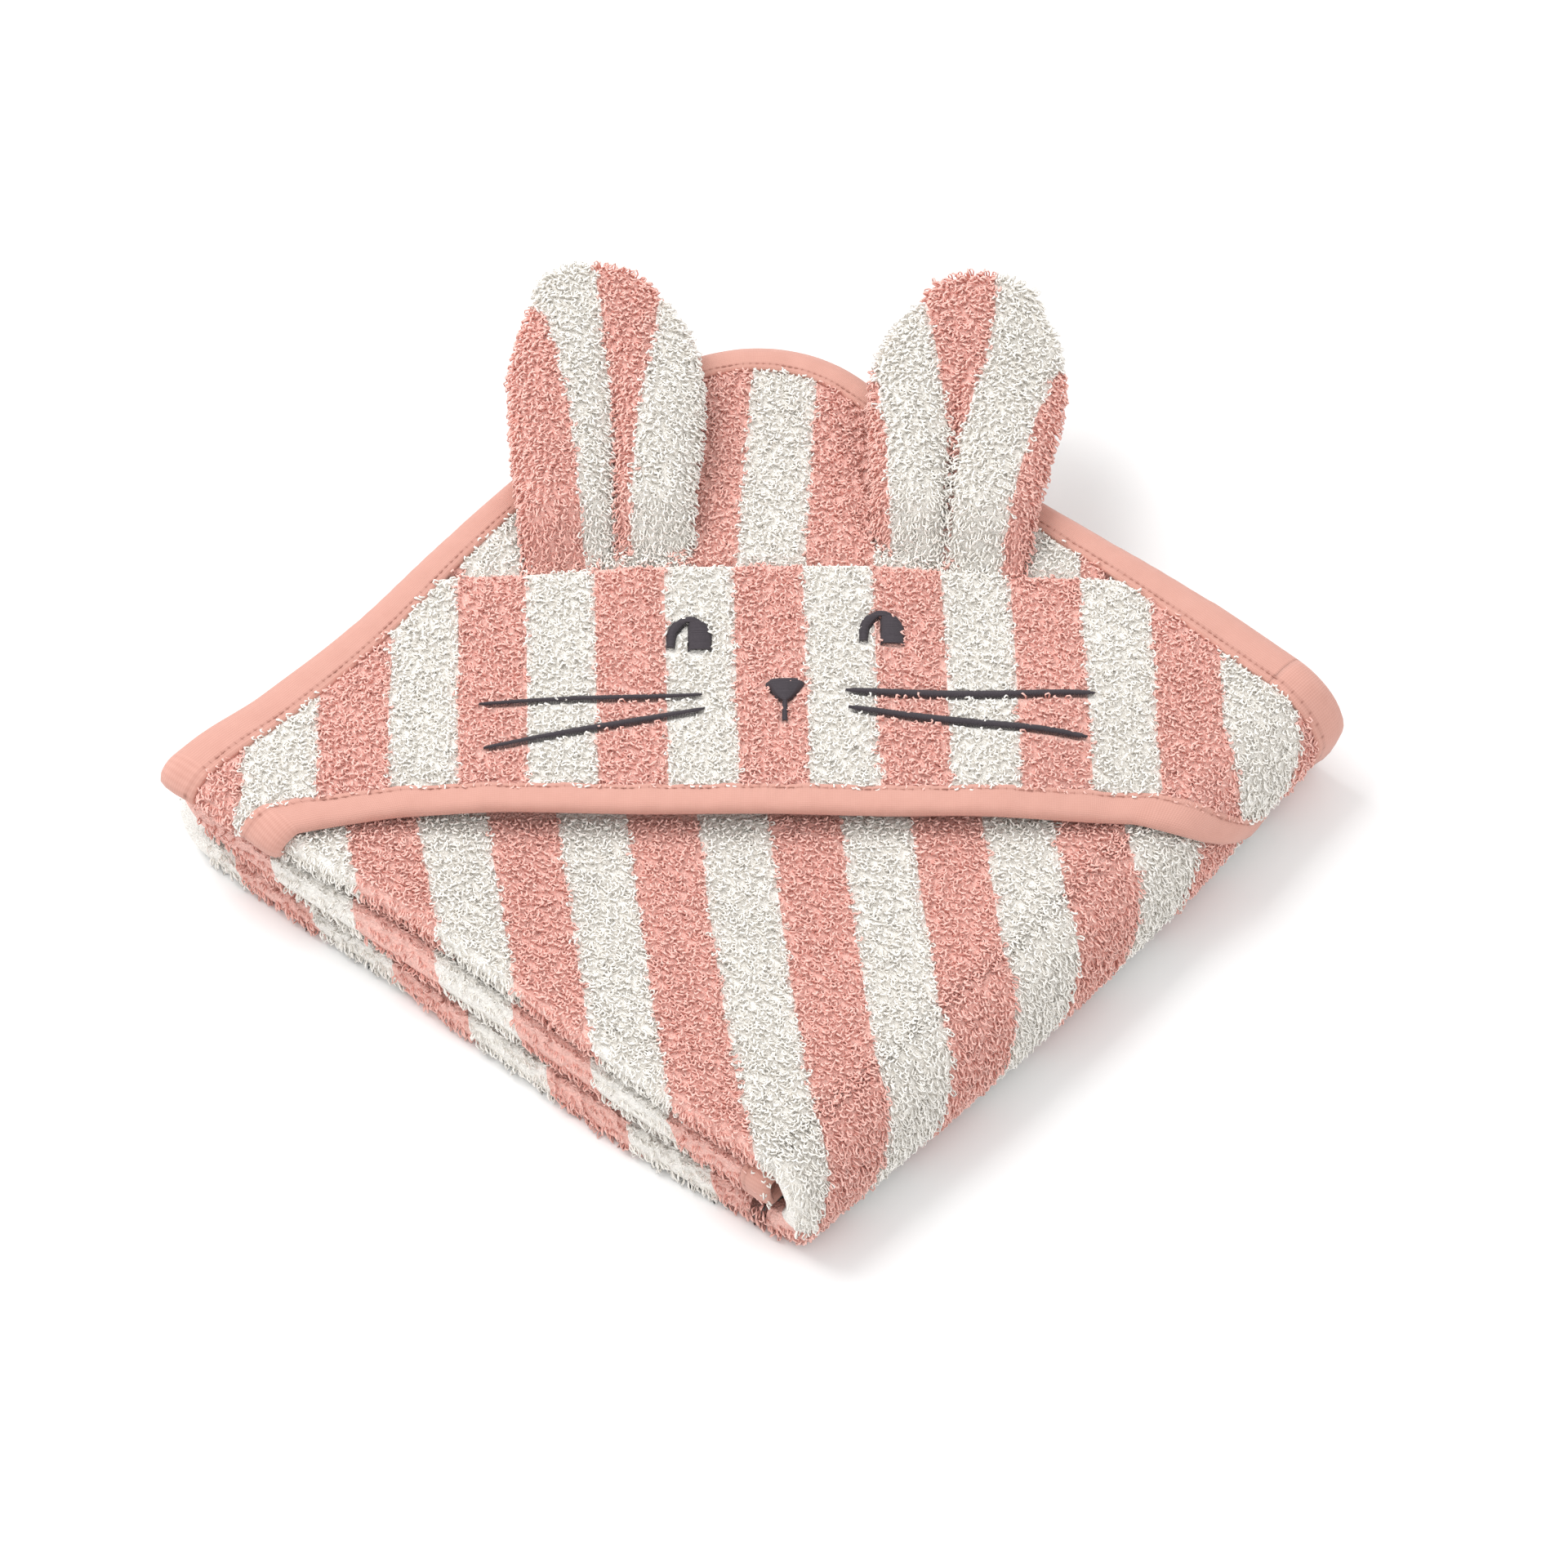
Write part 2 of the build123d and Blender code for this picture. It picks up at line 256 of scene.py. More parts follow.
class Socket:
    """A shader value that can be used in sums: each operator adds its Math node."""

    def __init__(self, tree, out):
        self.tree = tree
        self.out = out

    def node(self, kind, settings=None, inputs=None, output=0):
        """Any node: its settings first, then the values or links of its sockets."""
        made = self.tree.nodes.new(kind)
        for key, value in (settings or {}).items():
            setattr(made, key, value)
        for key, value in (inputs or {}).items():
            if isinstance(value, Socket):
                self.tree.links.new(value.out, made.inputs[key])
            else:
                made.inputs[key].default_value = value
        return Socket(self.tree, made.outputs[output])

    def value(self, name):
        """A value that the mesh carries at its points."""
        return self.node("ShaderNodeAttribute", {"attribute_name": name}, output=2)

    def math(self, operation, *terms):
        """One Math node over any number of values or Sockets."""
        return self.node("ShaderNodeMath", {"operation": operation}, dict(enumerate(terms)))

    def mix(self, factor, a, b):
        """Colour a to colour b by a factor."""
        return self.node("ShaderNodeMix", {"data_type": "RGBA"}, {0: factor, 6: a, 7: b}, 2)

    def __add__(self, other):
        return self.math("ADD", self, other)

    def __sub__(self, other):
        return self.math("SUBTRACT", self, other)

    def __mul__(self, other):
        return self.math("MULTIPLY", self, other)

    def __rsub__(self, other):
        return self.math("SUBTRACT", other, self)

    __radd__ = __add__
    __rmul__ = __mul__


def new_material(name, roughness=0.9, sheen=0.0):
    """A Principled material; gives it, its shader node and a Socket to build on."""
    material = bpy.data.materials.new(name)
    material.use_nodes = True
    shader = material.node_tree.nodes["Principled BSDF"]
    shader.inputs["Roughness"].default_value = roughness
    shader.inputs["Sheen Weight"].default_value = sheen
    shader.inputs["Sheen Roughness"].default_value = 0.6
    shader.inputs["Specular IOR Level"].default_value = 0.2
    return material, shader, Socket(material.node_tree, None)


def connect(socket, node, name):
    """Links a Socket to a named input of a shader node."""
    node.id_data.links.new(socket.out, node.inputs[name])


stripe = 0.020
pink = (0.955, 0.59, 0.52, 1)
# this deeper pink, and the deeper cream below, carry each loop's own tone and also painted shade at the
# loops' roots and at the rims of the ground's cells
pink_tone_and_shade = (0.89, 0.46, 0.39, 1)
cream = (0.985, 0.955, 0.905, 1)
cream_tone_and_shade = (0.955, 0.915, 0.85, 1)


def terry_material(name, deep):
    """Looped cotton in two yarns: a stripe changes colour every 20 mm across the cloth, each
    loop has its own tone, and towards their roots the loops are darkened with painted shade.
    The ground itself is covered by short curls between the loops, as cells whose rims are darkened with
    painted shade."""
    material, shader, sock = new_material(name, 0.95, 0.12)
    place = sock.node("ShaderNodeTexCoord", output=3)
    cloud = sock.node("ShaderNodeTexNoise", inputs={"Vector": place, "Scale": 90.0, "Detail": 2.0})
    is_pink = sock.math("LESS_THAN", sock.math("FRACT", sock.value("across") * (0.5 / stripe)), 0.5)
    if deep:
        bent = sock.node("ShaderNodeTexNoise", inputs={"Vector": place, "Scale": 700.0}, output=1)
        bent = sock.node("ShaderNodeVectorMath", {"operation": "SCALE"}, {0: bent, "Scale": 0.0012})
        bent = sock.node("ShaderNodeVectorMath", {"operation": "ADD"}, {0: place, 1: bent})
        cell = sock.node("ShaderNodeTexVoronoi", inputs={"Vector": bent, "Scale": 1100.0})
        # painted shade: the ground's colour darkens towards the rims of its cells, between the short
        # curls
        tone_and_shade, height, strength, distance = 1.3 - cell, cell * -1.0, 0.9, 0.0008
    else:
        # painted shade: a loop darkens towards its root, where tip is low; its own tone and a random
        # cloud add real variation
        tone_and_shade = sock.value("tip") * 0.75 + sock.value("tone") * 0.4 + (cloud - 0.5) * 0.6
        height = sock.node("ShaderNodeTexNoise", inputs={"Vector": place, "Scale": 2600.0})
        strength, distance = 0.25, 0.0003
    tone_and_shade = sock.math("MINIMUM", sock.math("MAXIMUM", tone_and_shade, 0.0), 1.0)
    colour = sock.mix(is_pink, sock.mix(tone_and_shade, cream_tone_and_shade, cream), sock.mix(tone_and_shade, pink_tone_and_shade, pink))
    bump = sock.node("ShaderNodeBump",
                     inputs={"Strength": strength, "Distance": distance, "Height": height})
    connect(colour, shader, "Base Color")
    connect(bump, shader, "Normal")
    return material


terry = terry_material("terry", False)
terry_ground = terry_material("terry_ground", True)


def thicken(piece, thickness):
    """Gives an open sheet its real thickness, half on either side."""
    solid = piece.modifiers.new("thickness", "SOLIDIFY")
    solid.thickness = thickness
    solid.offset = 0


def terry_sheet(name, points, across, **facts):
    """A piece of the ground cloth through a grid of points; the facts of what it is cut from are not
    used.
    """
    piece = grid_piece(name, points, {"across": across, "tone": 0.4, "tip": 0.3}, terry_ground)
    thicken(piece, ground_thickness)
    return piece


def dense(ends, step, low, high, arc_steps=8):
    """Places along the cloth: even steps on the flats and finer ones round the folds."""
    marks = np.concatenate([[0], ends])
    places = [np.array([low, high])]
    for index, (start, stop) in enumerate(zip(marks[:-1], marks[1:])):
        count = arc_steps if index % 2 else max(2, int((stop - start) / step))
        places.append(np.linspace(start, stop, count + 1))
    places = np.unique(np.round(np.concatenate(places), 7))
    return places[(places >= low - 1e-9) & (places <= high + 1e-9)]


def go_with(piece, body, *nodes):
    """Attaches a piece to a body's empty, or, for the wrap on the front right side, leaves it
    where it lies with its transform baked; and hides the nodes that it stands for."""
    if body == "bend":
        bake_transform(piece)
    else:
        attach(piece, body)
    if nodes:
        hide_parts(*nodes)


def towel_piece(name, q_low, q_high):
    """A stretch of the towel's ground cloth between two places along its length."""
    p, q = np.meshgrid(dense(panel_ends, ground_step, 0, p_last),
                       dense(roll_ends, ground_step, q_low, q_high), indexing="ij")
    return terry_sheet(name, on_towel(p, q)[0], stripes(*plan_of(p, q)),
                       flat=(flat_width, q_high - q_low), held="folded")


front_cloth = towel_piece("towel_front", 0, bend_low)
bend_cloth = towel_piece("towel_bend", bend_low, bend_high)
base_cloth = towel_piece("towel_base", bend_high, q_last)
go_with(front_cloth, "front", "front_third")
go_with(base_cloth, "base", "base_third", "middle_third", "inner_bend")
go_with(bend_cloth, "bend", "outer_bend")

# ============================================================================
# The terry's loops: cotton yarn pulled up through the ground cloth in rows, each
# loop about 3 mm long, leaning and twisting its own way.
# ============================================================================
loop_gap = 0.0016
yarn_r = 0.00030
loop_length = 0.0026
loop_width = 0.0012
# The knots of a loop's oval path, up it in lengths and out of it in widths.
loop_rise = np.array([-0.12, 0.48, 0.90, 0.98, 0.60, -0.12])
loop_out = np.array([-0.14, -0.50, -0.36, 0.26, 0.52, 0.12])
outer_face = 0.0004                             # the ground's own outer face
stray = 0.22                                    # how far roots stray from their grid, in gaps
stripe_blur = 0.0004                            # and loops of one stripe into the next


def loops(name, root, normal, comb, across, seed, length=loop_length, coarse=False):
    """A loop of yarn at every root: an oval path of a few points that starts and ends in the
    ground, carried by a three-sided tube.  It leans off the normal towards comb and is
    turned about its own axis by a random angle."""
    rng = np.random.default_rng(seed)
    count = len(root)
    comb = unit(comb - normal * np.sum(comb * normal, axis=1, keepdims=True))
    beside = np.cross(normal, comb)
    swing = rng.normal(0, 0.5, count)
    lean = np.clip(rng.normal(0.80, 0.20, count), 0.1, 1.2)
    flat = comb * np.cos(swing)[:, None] + beside * np.sin(swing)[:, None]
    axis = normal * np.cos(lean)[:, None] + flat * np.sin(lean)[:, None]
    twist = rng.normal(0, 0.8, count)[:, None]
    side = unit(np.cross(axis, flat))
    third = np.cross(side, axis)
    wide = side * np.cos(twist) + third * np.sin(twist)
    across_loop = np.cross(axis, wide)
    rise, out = loop_rise, loop_out
    if coarse:
        rise, out = rise[[0, 1, 3, 4, 5]], out[[0, 1, 3, 4, 5]] + [0, 0, -0.2, 0, 0]
    knots = len(rise)
    tall = length * rng.uniform(0.82, 1.18, count)[:, None, None]
    broad = loop_width * rng.uniform(0.75, 1.25, count)[:, None, None]
    path = (root[:, None, :] + axis[:, None, :] * tall * rise[None, :, None]
            + wide[:, None, :] * broad * out[None, :, None]
            + across_loop[:, None, :] * 0.0003 * np.sin(np.arange(knots) * 2.1)[None, :, None])
    first = np.broadcast_to(across_loop[:, None, :], path.shape)
    second = np.cross(unit(np.gradient(path, axis=1)), first)
    angles = np.array([0, 1, 2]) * 2 * math.pi / 3 + 0.5
    ring = (first[:, :, None, :] * np.cos(angles)[None, None, :, None]
            + second[:, :, None, :] * np.sin(angles)[None, None, :, None])
    points = path[:, :, None, :] + yarn_r * ring
    index = np.arange(count * knots * 3).reshape(count, knots, 3)
    quads = np.stack([index[:, :-1, [0, 1, 2]], index[:, :-1, [1, 2, 0]],
                      index[:, 1:, [1, 2, 0]], index[:, 1:, [0, 1, 2]]], axis=-1)
    caps = np.stack([index[:, 0, ::-1], index[:, -1, :]], axis=1)
    cells = int(math.ceil(math.sqrt(count)))
    corner = np.stack([np.arange(count) % cells, np.arange(count) // cells], axis=-1) / cells
    step_u, step_v = 0.23 / cells, 0.92 / cells / (knots - 1)
    seg, edge = np.meshgrid(np.arange(knots - 1), np.arange(3), indexing="ij")
    quad_uv = np.stack([np.stack([(edge + a) * step_u, (seg + b) * step_v], axis=-1)
                        for a, b in ((0, 0), (1, 0), (1, 1), (0, 1))], axis=2)
    quad_uv = corner[:, None, None, None, :] + quad_uv[None]
    cap_uv = np.array([[[3.1, 0.1], [3.9, 0.1], [3.5, 0.9]], [[3.1, 1.1], [3.9, 1.1], [3.5, 1.9]]])
    cap_uv = corner[:, None, None, :] + (cap_uv * [step_u, step_v])[None]
    maps = np.concatenate([quad_uv.reshape(-1, 2), cap_uv.reshape(-1, 2)])
    shape = (count, knots, 3)
    # tip runs from 0 at a loop's root to 1 at its top, and the terry material paints shade at the root
    # with it
    tip = np.broadcast_to(np.clip(rise, 0, 1)[None, :, None], shape)
    values = {"across": np.broadcast_to(across[:, None, None], shape), "tip": tip,
              "tone": np.broadcast_to(rng.uniform(0, 1, count)[:, None, None], shape)}
    points[..., 2] = np.maximum(points[..., 2], 0.0002)
    piece = new_mesh(name, points.reshape(-1, 3), [quads.reshape(-1, 4), caps.reshape(-1, 3)],
                     values, terry, maps)
    return piece


def sow(a0, a1, b0, b1, gap, seed):
    """Roots on a jittered grid over a stretch of two flat coordinates, one row offset by half."""
    rng = np.random.default_rng(seed)
    a = np.arange(a0, a1, gap)
    b = np.arange(b0, b1, gap)
    a, b = np.meshgrid(a, b, indexing="ij")
    a = a + rng.normal(0, stray * gap, a.shape)
    b = b + rng.normal(0, stray * gap, b.shape) + 0.5 * gap * (np.arange(len(a)) % 2)[:, None]
    return a.ravel(), b.ravel()


def towel_loops(name, p_range, q_range, body, seed, keep=None, gap=loop_gap, inner=False,
                comb=(0.3, -1.0, -0.35), **loop):
    """The loops of one stretch of the towel, on its outer face or, with inner, the other."""
    p, q = sow(*p_range, *q_range, gap, seed)
    if keep is not None:
        kept = keep(p, q)
        p, q = p[kept], q[kept]
    root, normal = on_towel(p, q, -outer_face if inner else outer_face)
    normal = -normal if inner else normal
    rng = np.random.default_rng(seed + 50)
    across = stripes(*plan_of(p, q)) + rng.normal(0, stripe_blur, len(p))
    go_with(loops(name, root, normal, np.array(comb), across, seed, **loop), body)


hood_tilt = math.radians(-3.5)
base_y = -0.0375                                # lower edge of the binding at the mouth


def hood_axes(x, y):
    """Plan coordinates turned so that the hood's seams run along the first one."""
    return (x * math.cos(hood_tilt) + y * math.sin(hood_tilt),
            -x * math.sin(hood_tilt) + y * math.cos(hood_tilt))


def mouth(x):
    """Height of the mouth's lower edge along the hood: level, falling at its left end where
    it goes round the fold and turning up where it goes round the outer bend."""
    return (base_y - 0.0085 * np.clip((-x - 0.100) / 0.045, 0, 1.5) ** 1.3
            + 0.0125 * np.clip((x - 0.105) / 0.040, 0, 0.88) ** 1.8)


def mouth_slant(x, e):
    """How far a place e in from the mouth's edge is moved outwards, as the hood's two ends are
    cut along the folds that they go round."""
    return smooth((np.abs(x) - 0.09) / 0.035) * np.sign(x) * np.maximum(e, 0)


def seam(x):
    """Height of the seam between the crown and the face panel, falling on its right."""
    fall = 0.0022 * np.clip((x - 0.03) / 0.09, 0, 2) ** 1.5
    return 0.0560 - fall - 0.0012 * np.clip(-x / 0.09, 0, 2)


def open_to_view(p, q):
    """The part of the top layer that the hood leaves free, and a strip under its mouth."""
    x, y = hood_axes(*plan_of(p, q))
    return y < mouth(x) + 0.005


towel_loops("loops_front_top", (0.0, fold_low), (0.0, bend_low), "front", 11, open_to_view)
towel_loops("loops_front_fold", (fold_low, fold_high + 0.004), (0.0, bend_low), "front", 12,
            open_to_view)

# ============================================================================
# The hood: a terry triangle laid over the towel's corner and sewn to it along
# two sides.  It is pieced from a crown at the point and a face panel, joined by
# one seam; its free edge, the mouth, is bound and hangs over the pocket.
# ============================================================================
hood_base = 0.0042                              # its ground over the towel's
hood_p_end = fold_low + 0.0036             # how far it goes round the fold
hood_q_end = bend_low + 0.0215              # and round the outer bend
bound = 0.009                                   # width of the binding
under_tape = 0.004                              # where the ground's own edge lies in it
under_side = 0.0008                             # and how far loops reach under it
hood_rows, hood_columns = 60, 150


def plan_place(x, y):
    """Hood coordinates back to the plan."""
    return (x * math.cos(hood_tilt) - y * math.sin(hood_tilt),
            x * math.sin(hood_tilt) + y * math.cos(hood_tilt))


def hood_height(x, y):
    """How far the hood's ground lies over the towel's.  It lies close to it at the sewn sides
    and swells over the pocket; the face panel stands a little over the crown at their seam,
    both have a few slack waves, and the ends past the folds are tucked in."""
    p, q = to_flat(*plan_place(x, y))
    edge = np.minimum(p, q)
    near_fold = smooth((fold_low + 0.001 - p) / 0.045) * smooth((bend_low + 0.006 - q) / 0.05)
    above_seam = y - seam(x)
    on_face = smooth((0.0012 - above_seam) / 0.0030)
    swell = smooth((edge - 0.004) / 0.055) * near_fold
    face = (0.0012 + 0.0034 * swell) * near_fold ** 0.5
    crown = 0.0020 * swell * (1 - 0.6 * smooth(above_seam / 0.05))
    waves = 0.0007 * np.sin(41 * x + 13 * y + 0.5) * np.sin(37 * y - 9 * x)
    waves = waves + 0.0004 * np.sin(85 * x - 30 * y)
    waves = waves + 0.0009 * hill(above_seam, 0.016) * np.sin(150 * x + 1.0) * (1 - on_face)
    seam_dip = 0.0012 * hill(above_seam - 0.0012, 0.0020)
    height = hood_base + face * on_face + crown * (1 - on_face) + waves * swell - seam_dip
    tuck = smooth((hood_p_end - p) / 0.0012) * smooth((hood_q_end - q) / 0.008)
    return height * (0.35 + 0.65 * tuck)


def on_hood(x, y, lift=0.0):
    """The hood's ground at hood coordinates x along its seam and y up to its point."""
    p, q = to_flat(*plan_place(x, y))
    return on_towel(p, q, hood_height(x, y) + lift, press_corner=False)


def hood_span(y, inset=0.0):
    """Left and right ends of the hood at a height y: its sewn sides, the folds it goes round,
    or the round point, all moved in by inset."""
    cosine, sine = math.cos(hood_tilt), math.sin(hood_tilt)
    plus, minus = cosine + sine, cosine - sine
    left_side = ((back_v + inset) / root_half + y * plus) / minus
    left_fold = ((half_width - hood_p_end) / root_half - y * minus) / plus
    right_side = ((half_width - inset) / root_half - y * minus) / plus
    right_bend = ((hood_q_end + back_v) / root_half + y * plus) / minus
    centre = hood_axes(*plan_of(apex_r, apex_r))
    reach = np.sqrt(np.maximum((apex_r - inset) ** 2 - (y - centre[1]) ** 2, 1e-9))
    left = np.maximum(left_side, left_fold)
    right = np.minimum(right_side, right_bend)
    left_touch = hood_axes(*plan_of(apex_r, inset))[1]
    right_touch = hood_axes(*plan_of(inset, apex_r))[1]
    left = np.where(y > left_touch, centre[0] - reach, left)
    right = np.where(y > right_touch, centre[0] + reach, right)
    return left, right


def face_stripes(x, y):
    """How far across the face panel's stripes hood coordinates lie."""
    x, y = plan_place(x, y)
    return x - 0.038 * y + 0.0051


def crown_stripes(x, y):
    """The same for the crown, cut a little more askew."""
    x, y = plan_place(x, y)
    return x - 0.1 * y + 0.0275


def follow_hood(piece, half):
    """Bakes the piece's transform where it lies; the ends of the mouth's half are worked out but not
    used.
    """
    inner, outer = (-0.045, -0.125) if half == "left" else (0.045, 0.120)
    ends = [(*plan_place(x, 0.0), 0.04) for x in (outer, inner)]
    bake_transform(piece)


def crowded(count):
    """Places from 0 to 1, close together at both ends."""
    return 0.5 - 0.5 * np.cos(np.linspace(0, math.pi, count))


def hood_cloth(name, y_low, y_high, span, across):
    """A stretch of the hood's ground as a grid, with columns closer together at its ends."""
    rows = np.linspace(0, 1, hood_rows)[:, None]
    columns = crowded(hood_columns)[None, :]
    x = np.zeros((hood_rows, hood_columns))
    for _ in range(8):                          # the ends and the curved edges settle together
        tall = y_high(x) - y_low(x)
        y = y_low(x) + tall * rows
        left, right = span(y)
        x = left + (right - left) * columns
    points, _ = on_hood(x, y)
    return terry_sheet(name, points[:, ::-1], across(x, y)[:, ::-1],
                       flat=(np.max(right - left), np.max(tall)), held="laid",
                       rests_on=["towel_front"], area=np.mean((right - left) * tall))


apex_y = hood_axes(*plan_of(apex_r, apex_r))[1] + apex_r


def face_low(x):
    """Where the face panel's ground ends under the mouth's binding."""
    return mouth(x) + under_tape


def crown_top(x):
    """Where the crown's ground ends under the binding at the point."""
    return apex_y - under_tape - 0.0001 + 0 * x


crown = hood_cloth("hood_crown", seam, crown_top, lambda y: hood_span(y, under_tape), crown_stripes)
go_with(crown, "front", "crown_panel", "hood_seam")
face_left = hood_cloth("hood_face_left", face_low, seam,
                       lambda y: (hood_span(y, under_tape)[0], 0 * y), face_stripes)
face_right = hood_cloth("hood_face_right", face_low, seam,
                        lambda y: (0 * y, hood_span(y, under_tape)[1]), face_stripes)
follow_hood(face_left, "left")
follow_hood(face_right, "right")
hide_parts("hood_left_end", "hood_left_wrap", "face_panel")
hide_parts("hood_right_end", "hood_right_wrap")


def side_width(run):
    """How wide the side binding shows at a run from the towel's corner: its own width, and
    half as much again where the edge turns up at the two side corners."""
    return bound * (1.03 + 0.45 * smooth((run - 0.10) / 0.11))


def hood_loops(name, x_range, y_range, across, keep, seed, gap=loop_gap):
    """Loops over a stretch of the hood, between its bound sides."""
    x, y = sow(*x_range, *y_range, gap, seed)
    left, right = hood_span(y, bound - under_side)
    p, q = to_flat(*plan_place(x, y))
    clear = (q > side_width(p) - under_side) & (p > side_width(q) - under_side)
    clear |= (p < apex_r) & (q < apex_r)
    kept = (x > left) & (x < right) & clear & keep(x, y)
    x, y = x[kept], y[kept]
    root, normal = on_hood(x, y, outer_face)
    rng = np.random.default_rng(seed + 50)
    return loops(name, root, normal, np.array([-0.15, -1.0, 0.0]),
                 across(x, y) + rng.normal(0, stripe_blur, len(x)), seed)


def above_binding(x, y):
    """Whether a place on the hood lies between the mouth's tape and the seam."""
    return (y > mouth(x - mouth_slant(x, bound)) + bound - 0.0004) & (y < seam(x) + 0.0006)


crown_loops = hood_loops("loops_crown", (-0.13, 0.15), (0.04, apex_y), crown_stripes,
                         lambda x, y: y > seam(x) + 0.0014, 21)
go_with(crown_loops, "front")

# ============================================================================
# The binding: a cotton tape 20 mm wide folded over every raw edge and topstitched
# near its inner side.  Along the hood's two sewn sides it takes in both layers.
# ============================================================================


def tape_material():
    """Plain-woven cotton: threads crossing every half millimetre as fine bumps, a deeper tone
    along the row of stitches and at each needle hole."""
    material, shader, sock = new_material("tape", 0.8, 0.15)
    along, around = sock.value("along"), sock.value("around")
    place = sock.node("ShaderNodeTexCoord", output=3)
    cloud = sock.node("ShaderNodeTexNoise", inputs={"Vector": place, "Scale": 260.0, "Detail": 3.0})
    turn = 2 * math.pi / thread_pitch
    weave = sock.math("SINE", (along + around) * turn) * sock.math("SINE", (along - around) * turn)
    row = sock.math("ABSOLUTE", around - stitch_in) * (1 / 0.0007)
    row = 1.0 - sock.math("MINIMUM", row, 1.0)
    holes = sock.math("ABSOLUTE", sock.math("FRACT", along * (1 / stitch_gap)) - 0.5) * 9.0
    holes = 1.0 - sock.math("MINIMUM", holes, 1.0)
    colour = sock.mix(cloud, (0.61, 0.315, 0.255, 1), (0.69, 0.375, 0.310, 1))
    colour = sock.mix((weave + 1.0) * 0.25, colour, (0.50, 0.235, 0.185, 1))
    colour = sock.mix(row * 0.25 + row * holes * 0.7, colour, (0.27, 0.10, 0.075, 1))
    bump = sock.node("ShaderNodeBump", inputs={"Strength": 0.35, "Distance": 0.00012,
                                                "Height": weave + cloud * 0.8})
    connect(colour, shader, "Base Color")
    connect(bump, shader, "Normal")
    return material


stitch_in = 0.0074                              # from the edge to the row of stitches
stitch_gap = 0.0024
thread_pitch = 0.0010                           # from one warp thread to the next but one
tape = tape_material()
# Sections of the folded tape in mm: in from the edge and over the cloth, first its upper side
# from the stitches out to the edge and then the lower one back.
single_tape = np.array([(9, 0.6), (8.9, 1.6), (8.5, 1.9), (7.4, 1.85), (5, 2.1), (2.5, 2.0), (0.8, 1.4),
                        (0, 0), (0.8, -1.4), (2.5, -1.9), (5, -1.9), (9, -1.8)]) / 1000
hood_tape = np.array([(9, 4.6), (8.9, 5.7), (8.5, 6.1), (7.4, 6.0), (5, 6.4), (2.8, 6.2), (1.0, 5.3),
                      (0.1, 3.6), (-0.2, 2.0), (0.1, 0.4), (1.0, -1.2), (2.8, -2.0), (5, -2.0),
                      (9, -2.0)]) / 1000


def tape_piece(name, place, s, shape):
    """The tape's outer side swept along an edge: place(s, e, h) puts a point e in from the
    edge and h over the cloth, and the tape puckers a little between its stitches."""
    s = s[:, None]
    e, h = shape[None, :, 0], shape[None, :, 1]
    pucker = 0.00012 * np.sin(2 * math.pi * s / stitch_gap) * smooth((e - 0.004) / 0.004)
    loose = 0.00025 * np.sin(s * 410 + 1.3) * np.sin(s * 147) * smooth((e + 0.001) / 0.003)
    points = place(s, e + loose * 0.6, h + (pucker + loose) * np.sign(h))
    around = np.where(np.arange(len(shape)) < np.argmin(shape[:, 0]), e, -0.001 - e)
    piece = grid_piece(name, points, {"along": s, "around": around}, tape)
    thicken(piece, 0.0005)
    return piece


point_s = hood_p_end - apex_r                   # where the side binding meets the round point
point_end = point_s + apex_r * math.pi / 2
side_length = point_end - apex_r + hood_q_end
bend_s = point_end - apex_r + bend_low


def side_path(s):
    """The hood's sewn edge from the left fold round the point to the outer bend: the flat p
    and q at a length s along it, and the direction into the cloth."""
    turn = half_turn(s, point_s, point_end) / 2
    p = np.where(s < point_s, hood_p_end - s, apex_r - apex_r * np.sin(turn))
    q = apex_r - apex_r * np.cos(turn) + np.maximum(s - point_end, 0)
    return p, q, np.sin(turn), np.cos(turn)


def side_place(s, e, h):
    """A point on the side binding.  Its upper side lies on the hood, whose height is averaged
    over 40 mm so that the tape runs smoothly over the end of the seam."""
    raised = 0
    spread = 0.020 * smooth((s - 0.045) / 0.02) * smooth((side_length - 0.045 - s) / 0.02)
    for near in np.linspace(-1, 1, 7):
        p, q, inward_p, inward_q = side_path(s + near * spread)
        x, y = hood_axes(*plan_of(p + inward_p * e, q + inward_q * e))
        raised = raised + (hood_height(x, y) - hood_base) / 7
    p, q, inward_p, inward_q = side_path(s)
    wide = side_width(np.maximum(p, q)) / bound
    p, q = p + inward_p * e * wide, q + inward_q * e * wide
    return on_towel(p, q, h + raised * smooth((h - 0.001) / 0.003), press_corner=False)[0]


side_steps = np.concatenate([hood_p_end - dense(panel_ends, 0.0012, apex_r, hood_p_end, 14)[::-1],
                             np.linspace(point_s, point_end, 66)[1:],
                             point_end - apex_r + dense(roll_ends, 0.0012, apex_r, hood_q_end, 24)[1:]])
side_steps = np.unique(np.round(side_steps, 6))
on_front, on_bend = side_steps <= bend_s + 1e-5, side_steps >= bend_s - 1e-5
side_front = tape_piece("hood_side_tape", side_place, side_steps[on_front], hood_tape)
go_with(side_front, "front", "hood_side_binding", "hood_left_edge_binding", "hood_right_edge_binding",
        "hood_side_stitching")
go_with(tape_piece("hood_side_tape_bend", side_place, side_steps[on_bend], hood_tape), "bend")


def edge_tape(name, axis, at, low, high, into):
    """Tape on one edge of the single towel: at a constant p or q, between two places along it."""
    ends = roll_ends if axis == "p" else panel_ends
    steps = dense(ends, 0.004, low, high, 14)

    def place(s, e, h):
        """A point s along the edge, e in from it and h over the cloth."""
        if axis == "p":
            return on_towel(at + into * e + 0 * s, s + 0 * e, h)[0]
        return on_towel(s + 0 * e, at + into * e + 0 * s, h)[0]

    return tape_piece(name, place, steps, single_tape)


